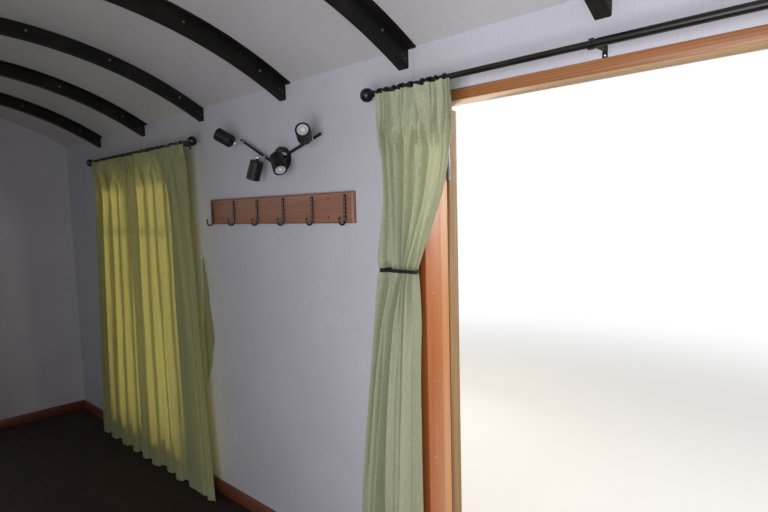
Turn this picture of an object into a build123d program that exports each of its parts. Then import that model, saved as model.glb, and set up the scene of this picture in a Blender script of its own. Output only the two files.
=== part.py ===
from build123d import *
import math
import os

# Side section of a converted railway carriage cabin, millimetres.
# +X runs along the side wall away from the end wall, +Y points outdoors, +Z up.
# The origin lies under the outer bearer, below the corner where the inner faces of both walls meet.

# Carriage body
HOOP_PITCH = 700.0
HOOP_COUNT = 8
RUN_ON = 50.0
HALF_WIDTH = 1050.0
CEILING_RADIUS = 2118.0
CURVE_FIT = 0.3
SHEET_SEAM = 1.0

# Floor
BEARER_HEIGHT = 75.0
BEARER_WIDTH = 150.0
BEARER_OUTSIDE = 110.0
JOIST_HEIGHT = 100.0
JOIST_WIDTH = 45.0
FLOOR_THICK = 25.0

# Walls
LINING_THICK = 12.0
CORE_THICK = 95.0
BOARDING_THICK = 43.0
LINING_SEAM_X = 2400.0
CORNER_BOARD_WIDTH = 95.0
CORNER_BOARD_THICK = 20.0

# Roof
CEILING_THICK = 6.0
ROOF_CORE_THICK = 50.0
ROOF_SKIN_THICK = 3.0
EAVES_OVERHANG = 60.0
VERGE_OVERHANG = 40.0
DRIP_DEPTH = 45.0

# Rolled steel hoops, Z-section but for one channel
HOOP_DEPTH = 60.0
HOOP_STEEL = 5.0
HOOP_TOP_FLANGE = 40.0
HOOP_LOW_FLANGE = 45.0
HOOP_CORNER = 6.0
HOOP_SPARE_TURN = 1.0
CHANNEL_HOOP = 3

# Doorway
DOORWAY_CENTRE = 4200.0
DOORWAY_CLEAR = 1278.0
HEAD_HEIGHT = 1891.0
CANTRAIL_HEIGHT = 173.0
FRAME_THICK = 36.0
SILL_UPSTAND = 15.0
SILL_DEPTH = 95.0
DOOR_REBATE = 12.0

# Door leaves, hung on butt hinges and folded back against the wall
LEAF_THICK = 50.0
LEAF_GAP = 5.0
LEAF_STILE = 95.0
LEAF_LOW_RAIL = 180.0
LEAF_PANEL_RECESS = 18.0
HINGE_OFFSET = 7.0
HINGE_HEIGHT = 132.0
HINGE_PLATE = 1.8
HINGE_PLATE_START = 5.0
HINGE_PLATE_WIDTH = 21.0
KNUCKLE_RADIUS = 6.5
KNUCKLE_GAP = 0.5
MIDDLE_KNUCKLE = 0.45
PIN_RADIUS = 3.0
PIN_CLEARANCE = 0.08
HINGE_COUNT = 2
HINGE_FOOT_INSET = 200.0
HINGE_HEAD_INSET = 184.0

# Tall window behind the drawn curtain
WINDOW_CENTRE = 1340.0
WINDOW_CLEAR = 1000.0
WINDOW_SILL = 250.0
WINDOW_SILL_NOSE = 30.0
SASH_THICK = 45.0
SASH_MEMBER = 60.0
SASH_SETBACK = 75.0
SASH_FIT = 0.5
GLASS_THICK = 6.0
GLASS_REBATE = 12.0

# Skirting
SKIRTING_HEIGHT = 68.0
SKIRTING_THICK = 15.0

# Coat rail
RAIL_LEFT = 2150.0
RAIL_LENGTH = 1070.0
RAIL_LOW = 1489.0
RAIL_HEIGHT = 126.0
RAIL_THICK = 20.0
RAIL_CHAMFER = 6.0
HOOK_COUNT = 6
HOOK_PITCH = 200.0
HOOK_INSET = 31.0
HOOK_TOP_INSET = 11.0
HOOK_DROP = 104.0
HOOK_SHANK = 9.0
HOOK_EDGE = 1.5
HOOK_TWIST = 540.0
HOOK_WIRE = 4.0
HOOK_BEND = 16.0
HOOK_RISE = 10.0
HOOK_BALL = 5.5

# Spot lamp bar
LAMP_X = 2770.0
LAMP_Z = 1777.0
LAMP_BASE_RADIUS = 52.0
LAMP_BASE_THICK = 25.0
LAMP_BAR_RADIUS = 6.0
LAMP_ELBOW = (-43.0, -14.0)
LAMP_ARM_LEFT = (-288.0, 112.0)
LAMP_ARM_RIGHT = (283.0, 76.0)
HEAD_RADIUS = 30.5
HEAD_LENGTH = 84.0
HEAD_RIM = 3.0
HEAD_RECESS = 6.0
HEAD_ROUND = 7.0
STEM_RADIUS = 4.0
NECK_RADIUS = 6.0
NECK_LENGTH = 11.0
KNUCKLE_BALL = 8.5
BALL_CLEARANCE = 0.3
KNUCKLE_TO_HEAD = 16.0
# Each head: foot of its stem along the bar from the lamp centre, knuckle centre, and the way it shines
SPOTS = (
    (-266.0, (-270.0, -77.0, 91.0), (-0.768, -0.463, 0.523)),
    (-100.0, (-61.0, -97.0, 7.0), (-0.388, -0.055, -0.935)),
    (60.0, (56.0, -88.0, 15.0), (0.625, -0.241, -0.768)),
    (240.0, (237.0, -70.0, 54.0), (0.663, -0.676, 0.283)),
)

# Curtain poles
POLE_OFFSET = 90.0
DOOR_POLE_RISE = 56.0
DOOR_POLE_OVERHANG = 184.0
DOOR_POLE_INNER = 9.5
DOOR_POLE_OUTER = 11.5
WINDOW_POLE_RISE = 27.0
WINDOW_POLE_LEFT = 120.0
WINDOW_POLE_RIGHT = 294.0
WINDOW_POLE_RADIUS = 9.5
FINIAL_RADIUS = 25.0
FINIAL_NECK = 12.0
BRACKET_WIDTH = 14.0
BRACKET_ABOVE = 32.0
BRACKET_BELOW = 20.0
BRACKET_THICK = 3.0
BRACKET_ARM = 5.0
BRACKET_INSET = 70.0
WINDOW_BRACKET_INSETS = (28.0, 151.0)
CRADLE_WALL = 5.0
RING_INNER = 13.5
RING_WIRE = 2.0
RING_HANG = 0.2
DOOR_RING_COUNT = 10
WINDOW_RING_COUNT = 16

# Curtains: how far the left and right edge stand from the opening's side, then the wall side and room side
DOOR_CURTAIN_TOP = (-131.0, 177.0, 55.0, 125.0)
# Below the top each row starts with its height above the floor
DOOR_CURTAIN_ROWS = (
    (1335.0, -141.0, 45.0, 30.0, 105.0),
    (1315.0, -141.0, 45.0, 30.0, 105.0),
    (430.0, -264.0, 45.0, 30.0, 140.0),
    (8.0, -289.0, 51.0, 30.0, 150.0),
)
WINDOW_CURTAIN_TOP = (-28.0, 215.0, 50.0, 130.0)
WINDOW_CURTAIN_ROWS = ((8.0, -205.0, 350.0, 30.0, 165.0),)
CURTAIN_ROUND = 24.0
CURTAIN_CLEAR = 0.3
TIEBACK_HEIGHT = 13.0
TIEBACK_THICK = 4.0
STRAP_HOOK_OFFSET = 180.0
STRAP_HOOK_Z = 1306.0
STRAP_LENGTH = 690.0
STRAP_THICK = 9.0
# Each level of the strap: share of its length, middle measured from the hook, and width
STRAP_LEVELS = (
    (0.0, 4.0, 16.0),
    (0.31, 17.0, 48.0),
    (0.63, 26.0, 100.0),
    (0.8, 16.0, 60.0),
    (1.0, -13.0, 14.0),
)

# Levels and lengths that follow from the values above
LENGTH = HOOP_PITCH * HOOP_COUNT + RUN_ON
FLOOR = BEARER_HEIGHT + JOIST_HEIGHT + FLOOR_THICK
WALL_THICK = LINING_THICK + CORE_THICK + BOARDING_THICK
CROWN_Y = -HALF_WIDTH
HEAD_TOP = HEAD_HEIGHT + FRAME_THICK
EAVES_HEIGHT = HEAD_TOP + CANTRAIL_HEIGHT
ARC_CENTRE_Z = FLOOR + EAVES_HEIGHT - math.sqrt(CEILING_RADIUS**2 - HALF_WIDTH**2)
DOOR_LEFT = DOORWAY_CENTRE - DOORWAY_CLEAR / 2
DOOR_RIGHT = DOORWAY_CENTRE + DOORWAY_CLEAR / 2
WINDOW_LEFT = WINDOW_CENTRE - WINDOW_CLEAR / 2
WINDOW_RIGHT = WINDOW_CENTRE + WINDOW_CLEAR / 2
DOOR_POLE_HEIGHT = HEAD_HEIGHT + DOOR_POLE_RISE
WINDOW_POLE_HEIGHT = HEAD_HEIGHT + WINDOW_POLE_RISE
STRAP_HOOK_X = WINDOW_RIGHT + STRAP_HOOK_OFFSET
BOARDING_INNER = LINING_THICK + CORE_THICK
END_INNER = -LINING_THICK
END_MIDDLE = -BOARDING_INNER
END_OUTER = -WALL_THICK
ROOF_IN = CEILING_RADIUS + CEILING_THICK + CURVE_FIT
ROOF_OUT = ROOF_IN + ROOF_CORE_THICK
SKIN_IN = ROOF_OUT + CURVE_FIT
SKIN_OUT = SKIN_IN + ROOF_SKIN_THICK
ROOF_EDGE_Y = WALL_THICK + EAVES_OVERHANG
ROOF_START = END_OUTER - VERGE_OVERHANG


def block(x, y, z):
    """A box between two corners, each axis given as a pair."""
    size = (x[1] - x[0], y[1] - y[0], z[1] - z[0])
    return Pos((x[0] + x[1]) / 2, (y[0] + y[1]) / 2, (z[0] + z[1]) / 2) * Box(*size)


def above_floor(low, high):
    """A height range measured from the finished floor."""
    return (FLOOR + low, FLOOR + high)


def barrel(radius, x):
    """The solid under a roof arc of the given radius, along a stretch of X."""
    round_bar = Rot(0, 90, 0) * Cylinder(radius, x[1] - x[0])
    return Pos((x[0] + x[1]) / 2, CROWN_Y, ARC_CENTRE_Z) * round_bar


def arched_sheet(inner, outer, x, y):
    """A curved sheet between two roof radii, cut upright at both edges."""
    tall = block(x, y, (ARC_CENTRE_Z + inner / 2, ARC_CENTRE_Z + 2 * outer))
    return tall & barrel(outer, x) - barrel(inner, x)


def group(solids):
    return Compound(children=list(solids))


# Floor and what carries it
def outer_bearer():
    return block((END_OUTER, LENGTH), (BEARER_OUTSIDE - BEARER_WIDTH, BEARER_OUTSIDE), (0, BEARER_HEIGHT))


def centre_bearer():
    return block((END_OUTER, LENGTH), (CROWN_Y, CROWN_Y + BEARER_WIDTH), (0, BEARER_HEIGHT))


def floor_joists():
    level = (BEARER_HEIGHT, BEARER_HEIGHT + JOIST_HEIGHT)
    first = END_OUTER + JOIST_WIDTH / 2
    last = LENGTH - JOIST_WIDTH / 2
    pitch = (last - first) / HOOP_COUNT
    centres = [first + i * pitch for i in range(HOOP_COUNT + 1)]
    half = JOIST_WIDTH / 2
    return group(block((x - half, x + half), (CROWN_Y, WALL_THICK), level) for x in centres)


def floor_boards():
    return block((END_OUTER, LENGTH), (CROWN_Y, WALL_THICK), (FLOOR - FLOOR_THICK, FLOOR))


# Side wall, in layers from the room outwards
def side_wall_core():
    y = (LINING_THICK, BOARDING_INNER)
    full = above_floor(0, HEAD_TOP)
    frame_left = WINDOW_LEFT - FRAME_THICK
    frame_right = WINDOW_RIGHT + FRAME_THICK
    return group(
        [
            block((END_INNER, frame_left), y, full),
            block((frame_left + SHEET_SEAM, frame_right - SHEET_SEAM), y, above_floor(0, WINDOW_SILL - FRAME_THICK)),
            block((frame_right, DOOR_LEFT - FRAME_THICK), y, full),
            block((DOOR_RIGHT + FRAME_THICK, LENGTH), y, full),
        ]
    )


def cantrail():
    low, high = above_floor(HEAD_TOP, EAVES_HEIGHT + HOOP_DEPTH)
    beam = block((END_INNER, LENGTH), (LINING_THICK, BOARDING_INNER), (low, high))
    return beam & barrel(ROOF_IN - CURVE_FIT, (END_INNER, LENGTH))


def wall_sheets(y, x_start, seams):
    """One wall layer, cut round the window and the doorway, in sheets that stop short of each other."""
    top = EAVES_HEIGHT + HOOP_DEPTH
    frame_left = WINDOW_LEFT - FRAME_THICK
    frame_right = WINDOW_RIGHT + FRAME_THICK
    door_left = DOOR_LEFT - FRAME_THICK
    door_right = DOOR_RIGHT + FRAME_THICK
    gap = SHEET_SEAM / 2
    sheets = [
        ((x_start, frame_left - gap), (0, top)),
        ((frame_left + gap, frame_right - gap), (0, WINDOW_SILL - FRAME_THICK)),
        ((frame_left + gap, frame_right - gap), (HEAD_TOP, top)),
        ((door_left + gap, door_right - gap), (HEAD_TOP, top)),
        ((door_right + gap, LENGTH), (0, top)),
    ]
    edges = [frame_right + gap] + [s for seam in seams for s in (seam - gap, seam + gap)] + [door_left - gap]
    sheets += [((edges[i], edges[i + 1]), (0, top)) for i in range(0, len(edges), 2)]
    return [block(x, y, above_floor(*z)) for x, z in sheets]


def side_wall_lining():
    under = barrel(CEILING_RADIUS - CURVE_FIT, (0, LENGTH))
    return group(sheet & under for sheet in wall_sheets((0, LINING_THICK), 0, [LINING_SEAM_X]))


def side_wall_boarding():
    under = barrel(ROOF_IN - CURVE_FIT, (END_MIDDLE, LENGTH))
    return group(sheet & under for sheet in wall_sheets((BOARDING_INNER, WALL_THICK), END_MIDDLE, []))


# End wall, from the centre line of the carriage to the corner
def end_wall_layer(x, y_outer, radius):
    slab = block(x, (CROWN_Y, y_outer), above_floor(0, EAVES_HEIGHT + HALF_WIDTH))
    return slab & barrel(radius, x)


def end_wall_lining():
    return end_wall_layer((END_INNER, 0), LINING_THICK, CEILING_RADIUS - CURVE_FIT)


def end_wall_core():
    return end_wall_layer((END_MIDDLE, END_INNER), BOARDING_INNER, ROOF_IN - CURVE_FIT)


def end_wall_boarding():
    return end_wall_layer((END_OUTER, END_MIDDLE), WALL_THICK, ROOF_IN - CURVE_FIT)


def corner_board():
    x = (END_OUTER - CORNER_BOARD_THICK, END_OUTER - CORNER_BOARD_THICK + CORNER_BOARD_WIDTH)
    y = (WALL_THICK + CORNER_BOARD_THICK - CORNER_BOARD_WIDTH, WALL_THICK + CORNER_BOARD_THICK)
    z = above_floor(0, EAVES_HEIGHT)
    angle = block(x, y, z) - block((END_OUTER, x[1]), (y[0], WALL_THICK), z)
    return angle & barrel(ROOF_IN - CURVE_FIT, x)


# Roof
def ceiling_lining():
    return arched_sheet(CEILING_RADIUS, CEILING_RADIUS + CEILING_THICK, (0, LENGTH), (CROWN_Y, LINING_THICK))


def roof_core():
    return arched_sheet(ROOF_IN, ROOF_OUT, (ROOF_START, LENGTH), (CROWN_Y, ROOF_EDGE_Y))


def roof_skin():
    x = (ROOF_START, LENGTH)
    sheet = arched_sheet(SKIN_IN, SKIN_OUT, x, (CROWN_Y, ROOF_EDGE_Y + ROOF_SKIN_THICK))
    edge_z = ARC_CENTRE_Z + math.sqrt(SKIN_IN**2 - (ROOF_EDGE_Y - CROWN_Y) ** 2)
    drip = block(x, (ROOF_EDGE_Y, ROOF_EDGE_Y + ROOF_SKIN_THICK), (edge_z - DRIP_DEPTH, edge_z))
    return sheet + drip


def hoop(x, channel):
    """A rolled rib from the wall's head to the crown; a channel has both flanges on one side."""
    top = HOOP_DEPTH
    steel = HOOP_STEEL
    upper = [
        (-steel / 2, top),
        (-steel / 2 + HOOP_TOP_FLANGE, top),
        (-steel / 2 + HOOP_TOP_FLANGE, top - steel),
        (steel / 2, top - steel),
    ]
    lower = [
        (steel / 2, 0),
        (steel / 2 - HOOP_LOW_FLANGE, 0),
        (steel / 2 - HOOP_LOW_FLANGE, steel),
        (-steel / 2, steel),
    ]
    if channel:
        upper = [(-u, v) for u, v in reversed(upper)]
    profile = make_face(Polyline(*upper, *lower, close=True))
    corners = [v for v in profile.vertices() if abs(v.X) < steel]
    outer = [v for v in corners if v.Y in (0, top)]
    profile = fillet(outer, HOOP_CORNER)
    foot = CEILING_RADIUS - CURVE_FIT - HOOP_DEPTH
    section = Pos(x, CROWN_Y, ARC_CENTRE_Z + foot) * Rot(90, 0, 0) * profile
    axis = Axis((x, CROWN_Y, ARC_CENTRE_Z), (-1, 0, 0))
    sweep = math.degrees(math.asin(HALF_WIDTH / foot)) + HOOP_SPARE_TURN
    ring = revolve(section, axis, sweep)
    keep = block((x - 2 * top, x + 2 * top), (CROWN_Y, 0), (0, ARC_CENTRE_Z + 2 * CEILING_RADIUS))
    return ring & keep


# Doorway
def door_rebate():
    """The space that the shut leaves take up, cut from the frame's outer edge."""
    x = (DOOR_LEFT - DOOR_REBATE, DOOR_RIGHT + DOOR_REBATE)
    y = (WALL_THICK - LEAF_THICK - LEAF_GAP, WALL_THICK)
    return block(x, y, above_floor(0, HEAD_HEIGHT + DOOR_REBATE))


def door_jamb():
    """The left jamb."""
    x = (DOOR_LEFT - FRAME_THICK, DOOR_LEFT)
    return block(x, (0, WALL_THICK), above_floor(0, HEAD_HEIGHT)) - door_rebate()


def door_head():
    x = (DOOR_LEFT - FRAME_THICK, DOOR_RIGHT + FRAME_THICK)
    return block(x, (0, WALL_THICK), above_floor(HEAD_HEIGHT, HEAD_TOP)) - door_rebate()


def door_sill():
    sill = block((DOOR_LEFT, DOOR_RIGHT), (0, SILL_DEPTH), above_floor(0, SILL_UPSTAND))
    front = sill.edges().filter_by(Axis.X).group_by(Axis.Z)[-1].sort_by(Axis.Y)[0]
    return chamfer(front, SILL_UPSTAND / 2)


def hinge_axis():
    """Plan position of the left hinge line."""
    return (DOOR_LEFT - DOOR_REBATE + LEAF_GAP / 2, WALL_THICK + HINGE_OFFSET)


def door_leaf():
    """The left leaf, shut; outside face level with the wall."""
    x = (DOOR_LEFT - DOOR_REBATE + LEAF_GAP, DOORWAY_CENTRE - LEAF_GAP / 2)
    y = (WALL_THICK - LEAF_THICK, WALL_THICK)
    z = above_floor(LEAF_GAP, HEAD_HEIGHT + DOOR_REBATE - LEAF_GAP)
    leaf = block(x, y, z)
    middle = (z[0] + z[1]) / 2
    panels = [(z[0] + LEAF_LOW_RAIL, middle - LEAF_STILE / 2), (middle + LEAF_STILE / 2, z[1] - LEAF_STILE)]
    for panel in panels:
        leaf -= block((x[0] + LEAF_STILE, x[1] - LEAF_STILE), (y[0], y[0] + LEAF_PANEL_RECESS), panel)
    return leaf


def hinge_barrel(z, radius):
    x, y = hinge_axis()
    return Pos(x, y, (z[0] + z[1]) / 2) * Cylinder(radius, z[1] - z[0])


def hinge_heights():
    """Each hinge as its height range and that of its moving knuckle."""
    half = HINGE_HEIGHT / 2
    pitch = (HEAD_HEIGHT - HINGE_HEAD_INSET - HINGE_FOOT_INSET) / (HINGE_COUNT - 1)
    for index in range(HINGE_COUNT):
        middle = FLOOR + HINGE_FOOT_INSET + index * pitch
        yield (middle - half, middle + half), (middle - half * MIDDLE_KNUCKLE, middle + half * MIDDLE_KNUCKLE)


def hinge_plate(side, whole, knuckles):
    """A plate flat on the outer face beside the left hinge line, with strips out to its knuckles."""
    x, y = hinge_axis()
    level = (WALL_THICK, WALL_THICK + HINGE_PLATE)
    near = x + side * HINGE_PLATE_START
    far = near + side * HINGE_PLATE_WIDTH
    solid = block(sorted((near, far)), level, whole)
    for z in knuckles:
        solid += block(sorted((x, near)), level, z) + hinge_barrel(z, KNUCKLE_RADIUS)
    return solid


def hinge_fixed():
    """Jamb plate, outer knuckles and pin of each left hinge."""
    solids = []
    for whole, moving in hinge_heights():
        knuckles = ((whole[0], moving[0] - KNUCKLE_GAP), (moving[1] + KNUCKLE_GAP, whole[1]))
        solids.append(hinge_plate(-1, whole, knuckles) + hinge_barrel(whole, PIN_RADIUS))
    return group(solids)


def hinge_moving():
    """Leaf plate and middle knuckle of each left hinge, with the leaf shut."""
    bore = PIN_RADIUS + PIN_CLEARANCE
    return group(hinge_plate(1, whole, [moving]) - hinge_barrel(whole, bore) for whole, moving in hinge_heights())


def folded_back(shape):
    """The left leaf's pieces turned half round on their hinge line."""
    x, y = hinge_axis()
    return Pos(x, y, 0) * Rot(0, 0, 180) * Pos(-x, -y, 0) * shape


def other_side(shape):
    """The same pieces mirrored to the doorway's other side."""
    return mirror(shape, Plane.YZ.offset(DOORWAY_CENTRE))


# Window
def window_posts():
    y = (0, WALL_THICK)
    z = above_floor(WINDOW_SILL, HEAD_HEIGHT)
    left = block((WINDOW_LEFT - FRAME_THICK, WINDOW_LEFT), y, z)
    right = block((WINDOW_RIGHT, WINDOW_RIGHT + FRAME_THICK), y, z)
    return group([left, right])


def window_rails():
    x = (WINDOW_LEFT - FRAME_THICK, WINDOW_RIGHT + FRAME_THICK)
    head = block(x, (0, WALL_THICK), above_floor(HEAD_HEIGHT, HEAD_TOP))
    sill = block(x, (0, WALL_THICK + WINDOW_SILL_NOSE), above_floor(WINDOW_SILL - FRAME_THICK, WINDOW_SILL))
    nose = sill.edges().filter_by(Axis.X).group_by(Axis.Y)[-1].sort_by(Axis.Z)[-1]
    return group([head, chamfer(nose, FRAME_THICK / 3)])


def sash_ranges():
    """The X range of each of the two sashes."""
    gap = SASH_FIT
    return [(WINDOW_LEFT + gap, WINDOW_CENTRE - gap), (WINDOW_CENTRE + gap, WINDOW_RIGHT - gap)]


def window_sashes():
    z = above_floor(WINDOW_SILL + SASH_FIT, HEAD_HEIGHT - SASH_FIT)
    y = (SASH_SETBACK, SASH_SETBACK + SASH_THICK)
    glass_y = (SASH_SETBACK + (SASH_THICK - GLASS_THICK) / 2, SASH_SETBACK + (SASH_THICK + GLASS_THICK) / 2)
    sashes = []
    for x in sash_ranges():
        sight = (x[0] + SASH_MEMBER, x[1] - SASH_MEMBER)
        sight_z = (z[0] + SASH_MEMBER, z[1] - SASH_MEMBER)
        rebate = (sight[0] - GLASS_REBATE, sight[1] + GLASS_REBATE)
        rebate_z = (sight_z[0] - GLASS_REBATE, sight_z[1] + GLASS_REBATE)
        sashes.append(block(x, y, z) - block(sight, y, sight_z) - block(rebate, glass_y, rebate_z))
    return group(sashes)


def window_glass():
    z = above_floor(WINDOW_SILL + SASH_FIT, HEAD_HEIGHT - SASH_FIT)
    inset = SASH_MEMBER - GLASS_REBATE + CURVE_FIT
    middle = SASH_SETBACK + SASH_THICK / 2
    half = GLASS_THICK / 2 - CURVE_FIT / 2
    y = (middle - half, middle + half)
    return group(block((x[0] + inset, x[1] - inset), y, (z[0] + inset, z[1] - inset)) for x in sash_ranges())


# Trim on the inside
def skirting():
    z = above_floor(0, SKIRTING_HEIGHT)
    y = (-SKIRTING_THICK, 0)
    return group(
        [
            block((0, SKIRTING_THICK), (CROWN_Y, 0), z),
            block((SKIRTING_THICK + SHEET_SEAM, DOOR_LEFT - FRAME_THICK), y, z),
            block((DOOR_RIGHT + FRAME_THICK, LENGTH), y, z),
        ]
    )


def coat_rail():
    board = block((RAIL_LEFT, RAIL_LEFT + RAIL_LENGTH), (-RAIL_THICK, 0), above_floor(RAIL_LOW, RAIL_LOW + RAIL_HEIGHT))
    face = board.faces().sort_by(Axis.Y)[0]
    return chamfer(face.edges(), RAIL_CHAMFER)


def twisted_shank(x, low, high):
    """A square bar on end, wrung like a barley stick, with its head rounded off."""
    outline = RectangleRounded(HOOK_SHANK, HOOK_SHANK, HOOK_EDGE)
    place = Vector(x, -RAIL_THICK - HOOK_SHANK / math.sqrt(2), low)
    section = Pos(*place) * outline
    bar = Solid.extrude_linear_with_rotation(section.face(), place, Vector(0, 0, high - low), HOOK_TWIST)
    head = Pos(place.X, place.Y, high) * Sphere(HOOK_SHANK / 2)
    return bar + head


def coat_hook(x):
    """A twisted shank on the rail that turns out into a round hook with a ball end."""
    high = FLOOR + RAIL_LOW + RAIL_HEIGHT - HOOK_TOP_INSET
    low = high - HOOK_DROP
    shank_y = -RAIL_THICK - HOOK_SHANK / math.sqrt(2)
    tip_y = shank_y - 2 * HOOK_BEND
    start = (x, shank_y, low + HOOK_WIRE)
    bottom = (x, shank_y - HOOK_BEND, low - HOOK_BEND)
    path = Line(start, (x, shank_y, low))
    path += ThreePointArc((x, shank_y, low), bottom, (x, tip_y, low))
    path += Line((x, tip_y, low), (x, tip_y, low + HOOK_RISE))
    wire = sweep(Pos(*start) * Circle(HOOK_WIRE), path=path)
    ball = Pos(x, tip_y, low + HOOK_RISE) * Sphere(HOOK_BALL)
    return twisted_shank(x, low, high - HOOK_SHANK / 2) + wire + ball


def coat_hooks():
    return group(coat_hook(RAIL_LEFT + HOOK_INSET + i * HOOK_PITCH) for i in range(HOOK_COUNT))


# Spot lamp
def rod(start, end, radius):
    """A round rod between two points."""
    a = Vector(*start)
    b = Vector(*end)
    plane = Plane(origin=a, z_dir=b - a)
    return plane * Pos(0, 0, (b - a).length / 2) * Cylinder(radius, (b - a).length)


def lamp_point(x, y, z):
    return (LAMP_X + x, y, FLOOR + LAMP_Z + z)


def bar_y():
    return -LAMP_BASE_THICK - LAMP_BAR_RADIUS / 2


def bar_height(x):
    """Height of the bar above the lamp's centre, at a distance along it."""
    arm = LAMP_ARM_LEFT if x < LAMP_ELBOW[0] else LAMP_ARM_RIGHT
    share = (x - LAMP_ELBOW[0]) / (arm[0] - LAMP_ELBOW[0])
    return LAMP_ELBOW[1] + share * (arm[1] - LAMP_ELBOW[1])


def spot_bar():
    """Round wall plate with a shallow V of bar across it."""
    plate = Pos(*lamp_point(0, -LAMP_BASE_THICK / 2, 0)) * Rot(90, 0, 0) * Cylinder(LAMP_BASE_RADIUS, LAMP_BASE_THICK)
    plate = fillet(plate.faces().sort_by(Axis.Y)[0].edges(), LAMP_BASE_THICK / 5)
    elbow = lamp_point(LAMP_ELBOW[0], bar_y(), LAMP_ELBOW[1])
    solid = plate + Pos(*elbow) * Sphere(LAMP_BAR_RADIUS)
    for x, z in (LAMP_ARM_LEFT, LAMP_ARM_RIGHT):
        solid += rod(elbow, lamp_point(x, bar_y(), z), LAMP_BAR_RADIUS)
    return solid


def spot_stems():
    """Plated stems, each ending in the ball that its head turns on."""
    bar = spot_bar()
    solids = []
    for foot_x, ball, way in SPOTS:
        foot = lamp_point(foot_x, bar_y(), bar_height(foot_x))
        centre = lamp_point(*ball)
        solids.append(rod(foot, centre, STEM_RADIUS) - bar + Pos(*centre) * Sphere(KNUCKLE_BALL))
    return group(solids)


def spot_head(ball, way):
    """A can with a recessed lamp face and a socket that seats on its ball."""
    can = Pos(0, 0, KNUCKLE_TO_HEAD + HEAD_LENGTH / 2) * Cylinder(HEAD_RADIUS, HEAD_LENGTH)
    can = fillet(can.faces().sort_by(Axis.Z)[0].edges(), HEAD_ROUND)
    mouth = KNUCKLE_TO_HEAD + HEAD_LENGTH - HEAD_RECESS / 2
    can -= Pos(0, 0, mouth) * Cylinder(HEAD_RADIUS - HEAD_RIM, HEAD_RECESS)
    can += Pos(0, 0, KNUCKLE_TO_HEAD - NECK_LENGTH / 2) * Cylinder(NECK_RADIUS, NECK_LENGTH)
    can -= Sphere(KNUCKLE_BALL + BALL_CLEARANCE)
    return Plane(origin=lamp_point(*ball), z_dir=way) * can


# Curtain poles
def pole_length(start, end, radius, finial_at):
    """A round pole with a ball finial on one end or on both."""
    solid = rod(start, end, radius)
    for point, sign in finial_at:
        x, y, z = point
        neck = x + sign * FINIAL_NECK
        solid += rod(point, (neck, y, z), radius * 1.25)
        solid += Pos(neck + sign * FINIAL_RADIUS * 0.8, y, z) * Sphere(FINIAL_RADIUS)
    return solid


def door_pole_ends():
    overhang = DOOR_POLE_OVERHANG - FINIAL_RADIUS - FINIAL_NECK
    return DOOR_LEFT - overhang, DOOR_RIGHT + overhang


def door_pole_inner():
    left, right = door_pole_ends()
    z = FLOOR + DOOR_POLE_HEIGHT
    start = (left, -POLE_OFFSET, z)
    return pole_length(start, (DOORWAY_CENTRE, -POLE_OFFSET, z), DOOR_POLE_INNER, [(start, -1)])


def door_pole_outer():
    left, right = door_pole_ends()
    z = FLOOR + DOOR_POLE_HEIGHT
    end = (right, -POLE_OFFSET, z)
    return pole_length((DOORWAY_CENTRE, -POLE_OFFSET, z), end, DOOR_POLE_OUTER, [(end, 1)])


def window_pole_ends():
    finial = FINIAL_RADIUS + FINIAL_NECK
    return WINDOW_LEFT - WINDOW_POLE_LEFT + finial, WINDOW_RIGHT + WINDOW_POLE_RIGHT - finial


def window_bracket_places():
    left, right = window_pole_ends()
    return [left + WINDOW_BRACKET_INSETS[0], right - WINDOW_BRACKET_INSETS[1]]


def window_pole():
    left, right = window_pole_ends()
    z = FLOOR + WINDOW_POLE_HEIGHT
    start = (left, -POLE_OFFSET, z)
    end = (right, -POLE_OFFSET, z)
    return pole_length(start, end, WINDOW_POLE_RADIUS, [(start, -1), (end, 1)])


def pole_bracket(x, height, radius):
    """Wall strip, arm and the cradle that the pole lies in."""
    z = FLOOR + height
    strip_z = (z - BRACKET_BELOW, z + BRACKET_ABOVE)
    strip = block((x - BRACKET_WIDTH / 2, x + BRACKET_WIDTH / 2), (-BRACKET_THICK, 0), strip_z)
    arm = rod((x, -BRACKET_THICK / 2, z), (x, -POLE_OFFSET, z), BRACKET_ARM)
    cradle = Pos(x, -POLE_OFFSET, z) * Rot(0, 90, 0) * Cylinder(radius + CRADLE_WALL, BRACKET_WIDTH)
    bore = Pos(x, -POLE_OFFSET, z) * Rot(0, 90, 0) * Cylinder(radius + CURVE_FIT / 2, BRACKET_WIDTH)
    mouth = block((x - BRACKET_WIDTH, x + BRACKET_WIDTH), (-2 * POLE_OFFSET, -POLE_OFFSET), (z, z + 2 * radius))
    return strip + arm + (cradle - mouth) - bore


def door_pole_brackets():
    left = DOOR_LEFT + BRACKET_INSET
    right = DOOR_RIGHT - BRACKET_INSET
    places = [(left, DOOR_POLE_INNER), (DOORWAY_CENTRE - BRACKET_WIDTH, DOOR_POLE_INNER), (right, DOOR_POLE_OUTER)]
    return group(pole_bracket(x, DOOR_POLE_HEIGHT, radius) for x, radius in places)


def window_pole_brackets():
    return group(pole_bracket(x, WINDOW_POLE_HEIGHT, WINDOW_POLE_RADIUS) for x in window_bracket_places())


def ring_drop(pole_radius):
    """How far a ring's centre hangs below the pole's axis."""
    return RING_INNER - pole_radius - RING_HANG


def ring(x, height, pole_radius):
    z = FLOOR + height - ring_drop(pole_radius)
    return Pos(x, -POLE_OFFSET, z) * Rot(0, 90, 0) * Torus(RING_INNER + RING_WIRE, RING_WIRE)


def spread(left, right, count, avoid):
    """Evenly spaced places that skip the brackets."""
    step = (right - left) / (count - 1)
    places = [left + i * step for i in range(count)]
    room = BRACKET_WIDTH / 2 + 2 * RING_WIRE
    return [x for x in places if all(abs(x - b) > room for b in avoid)]


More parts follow.
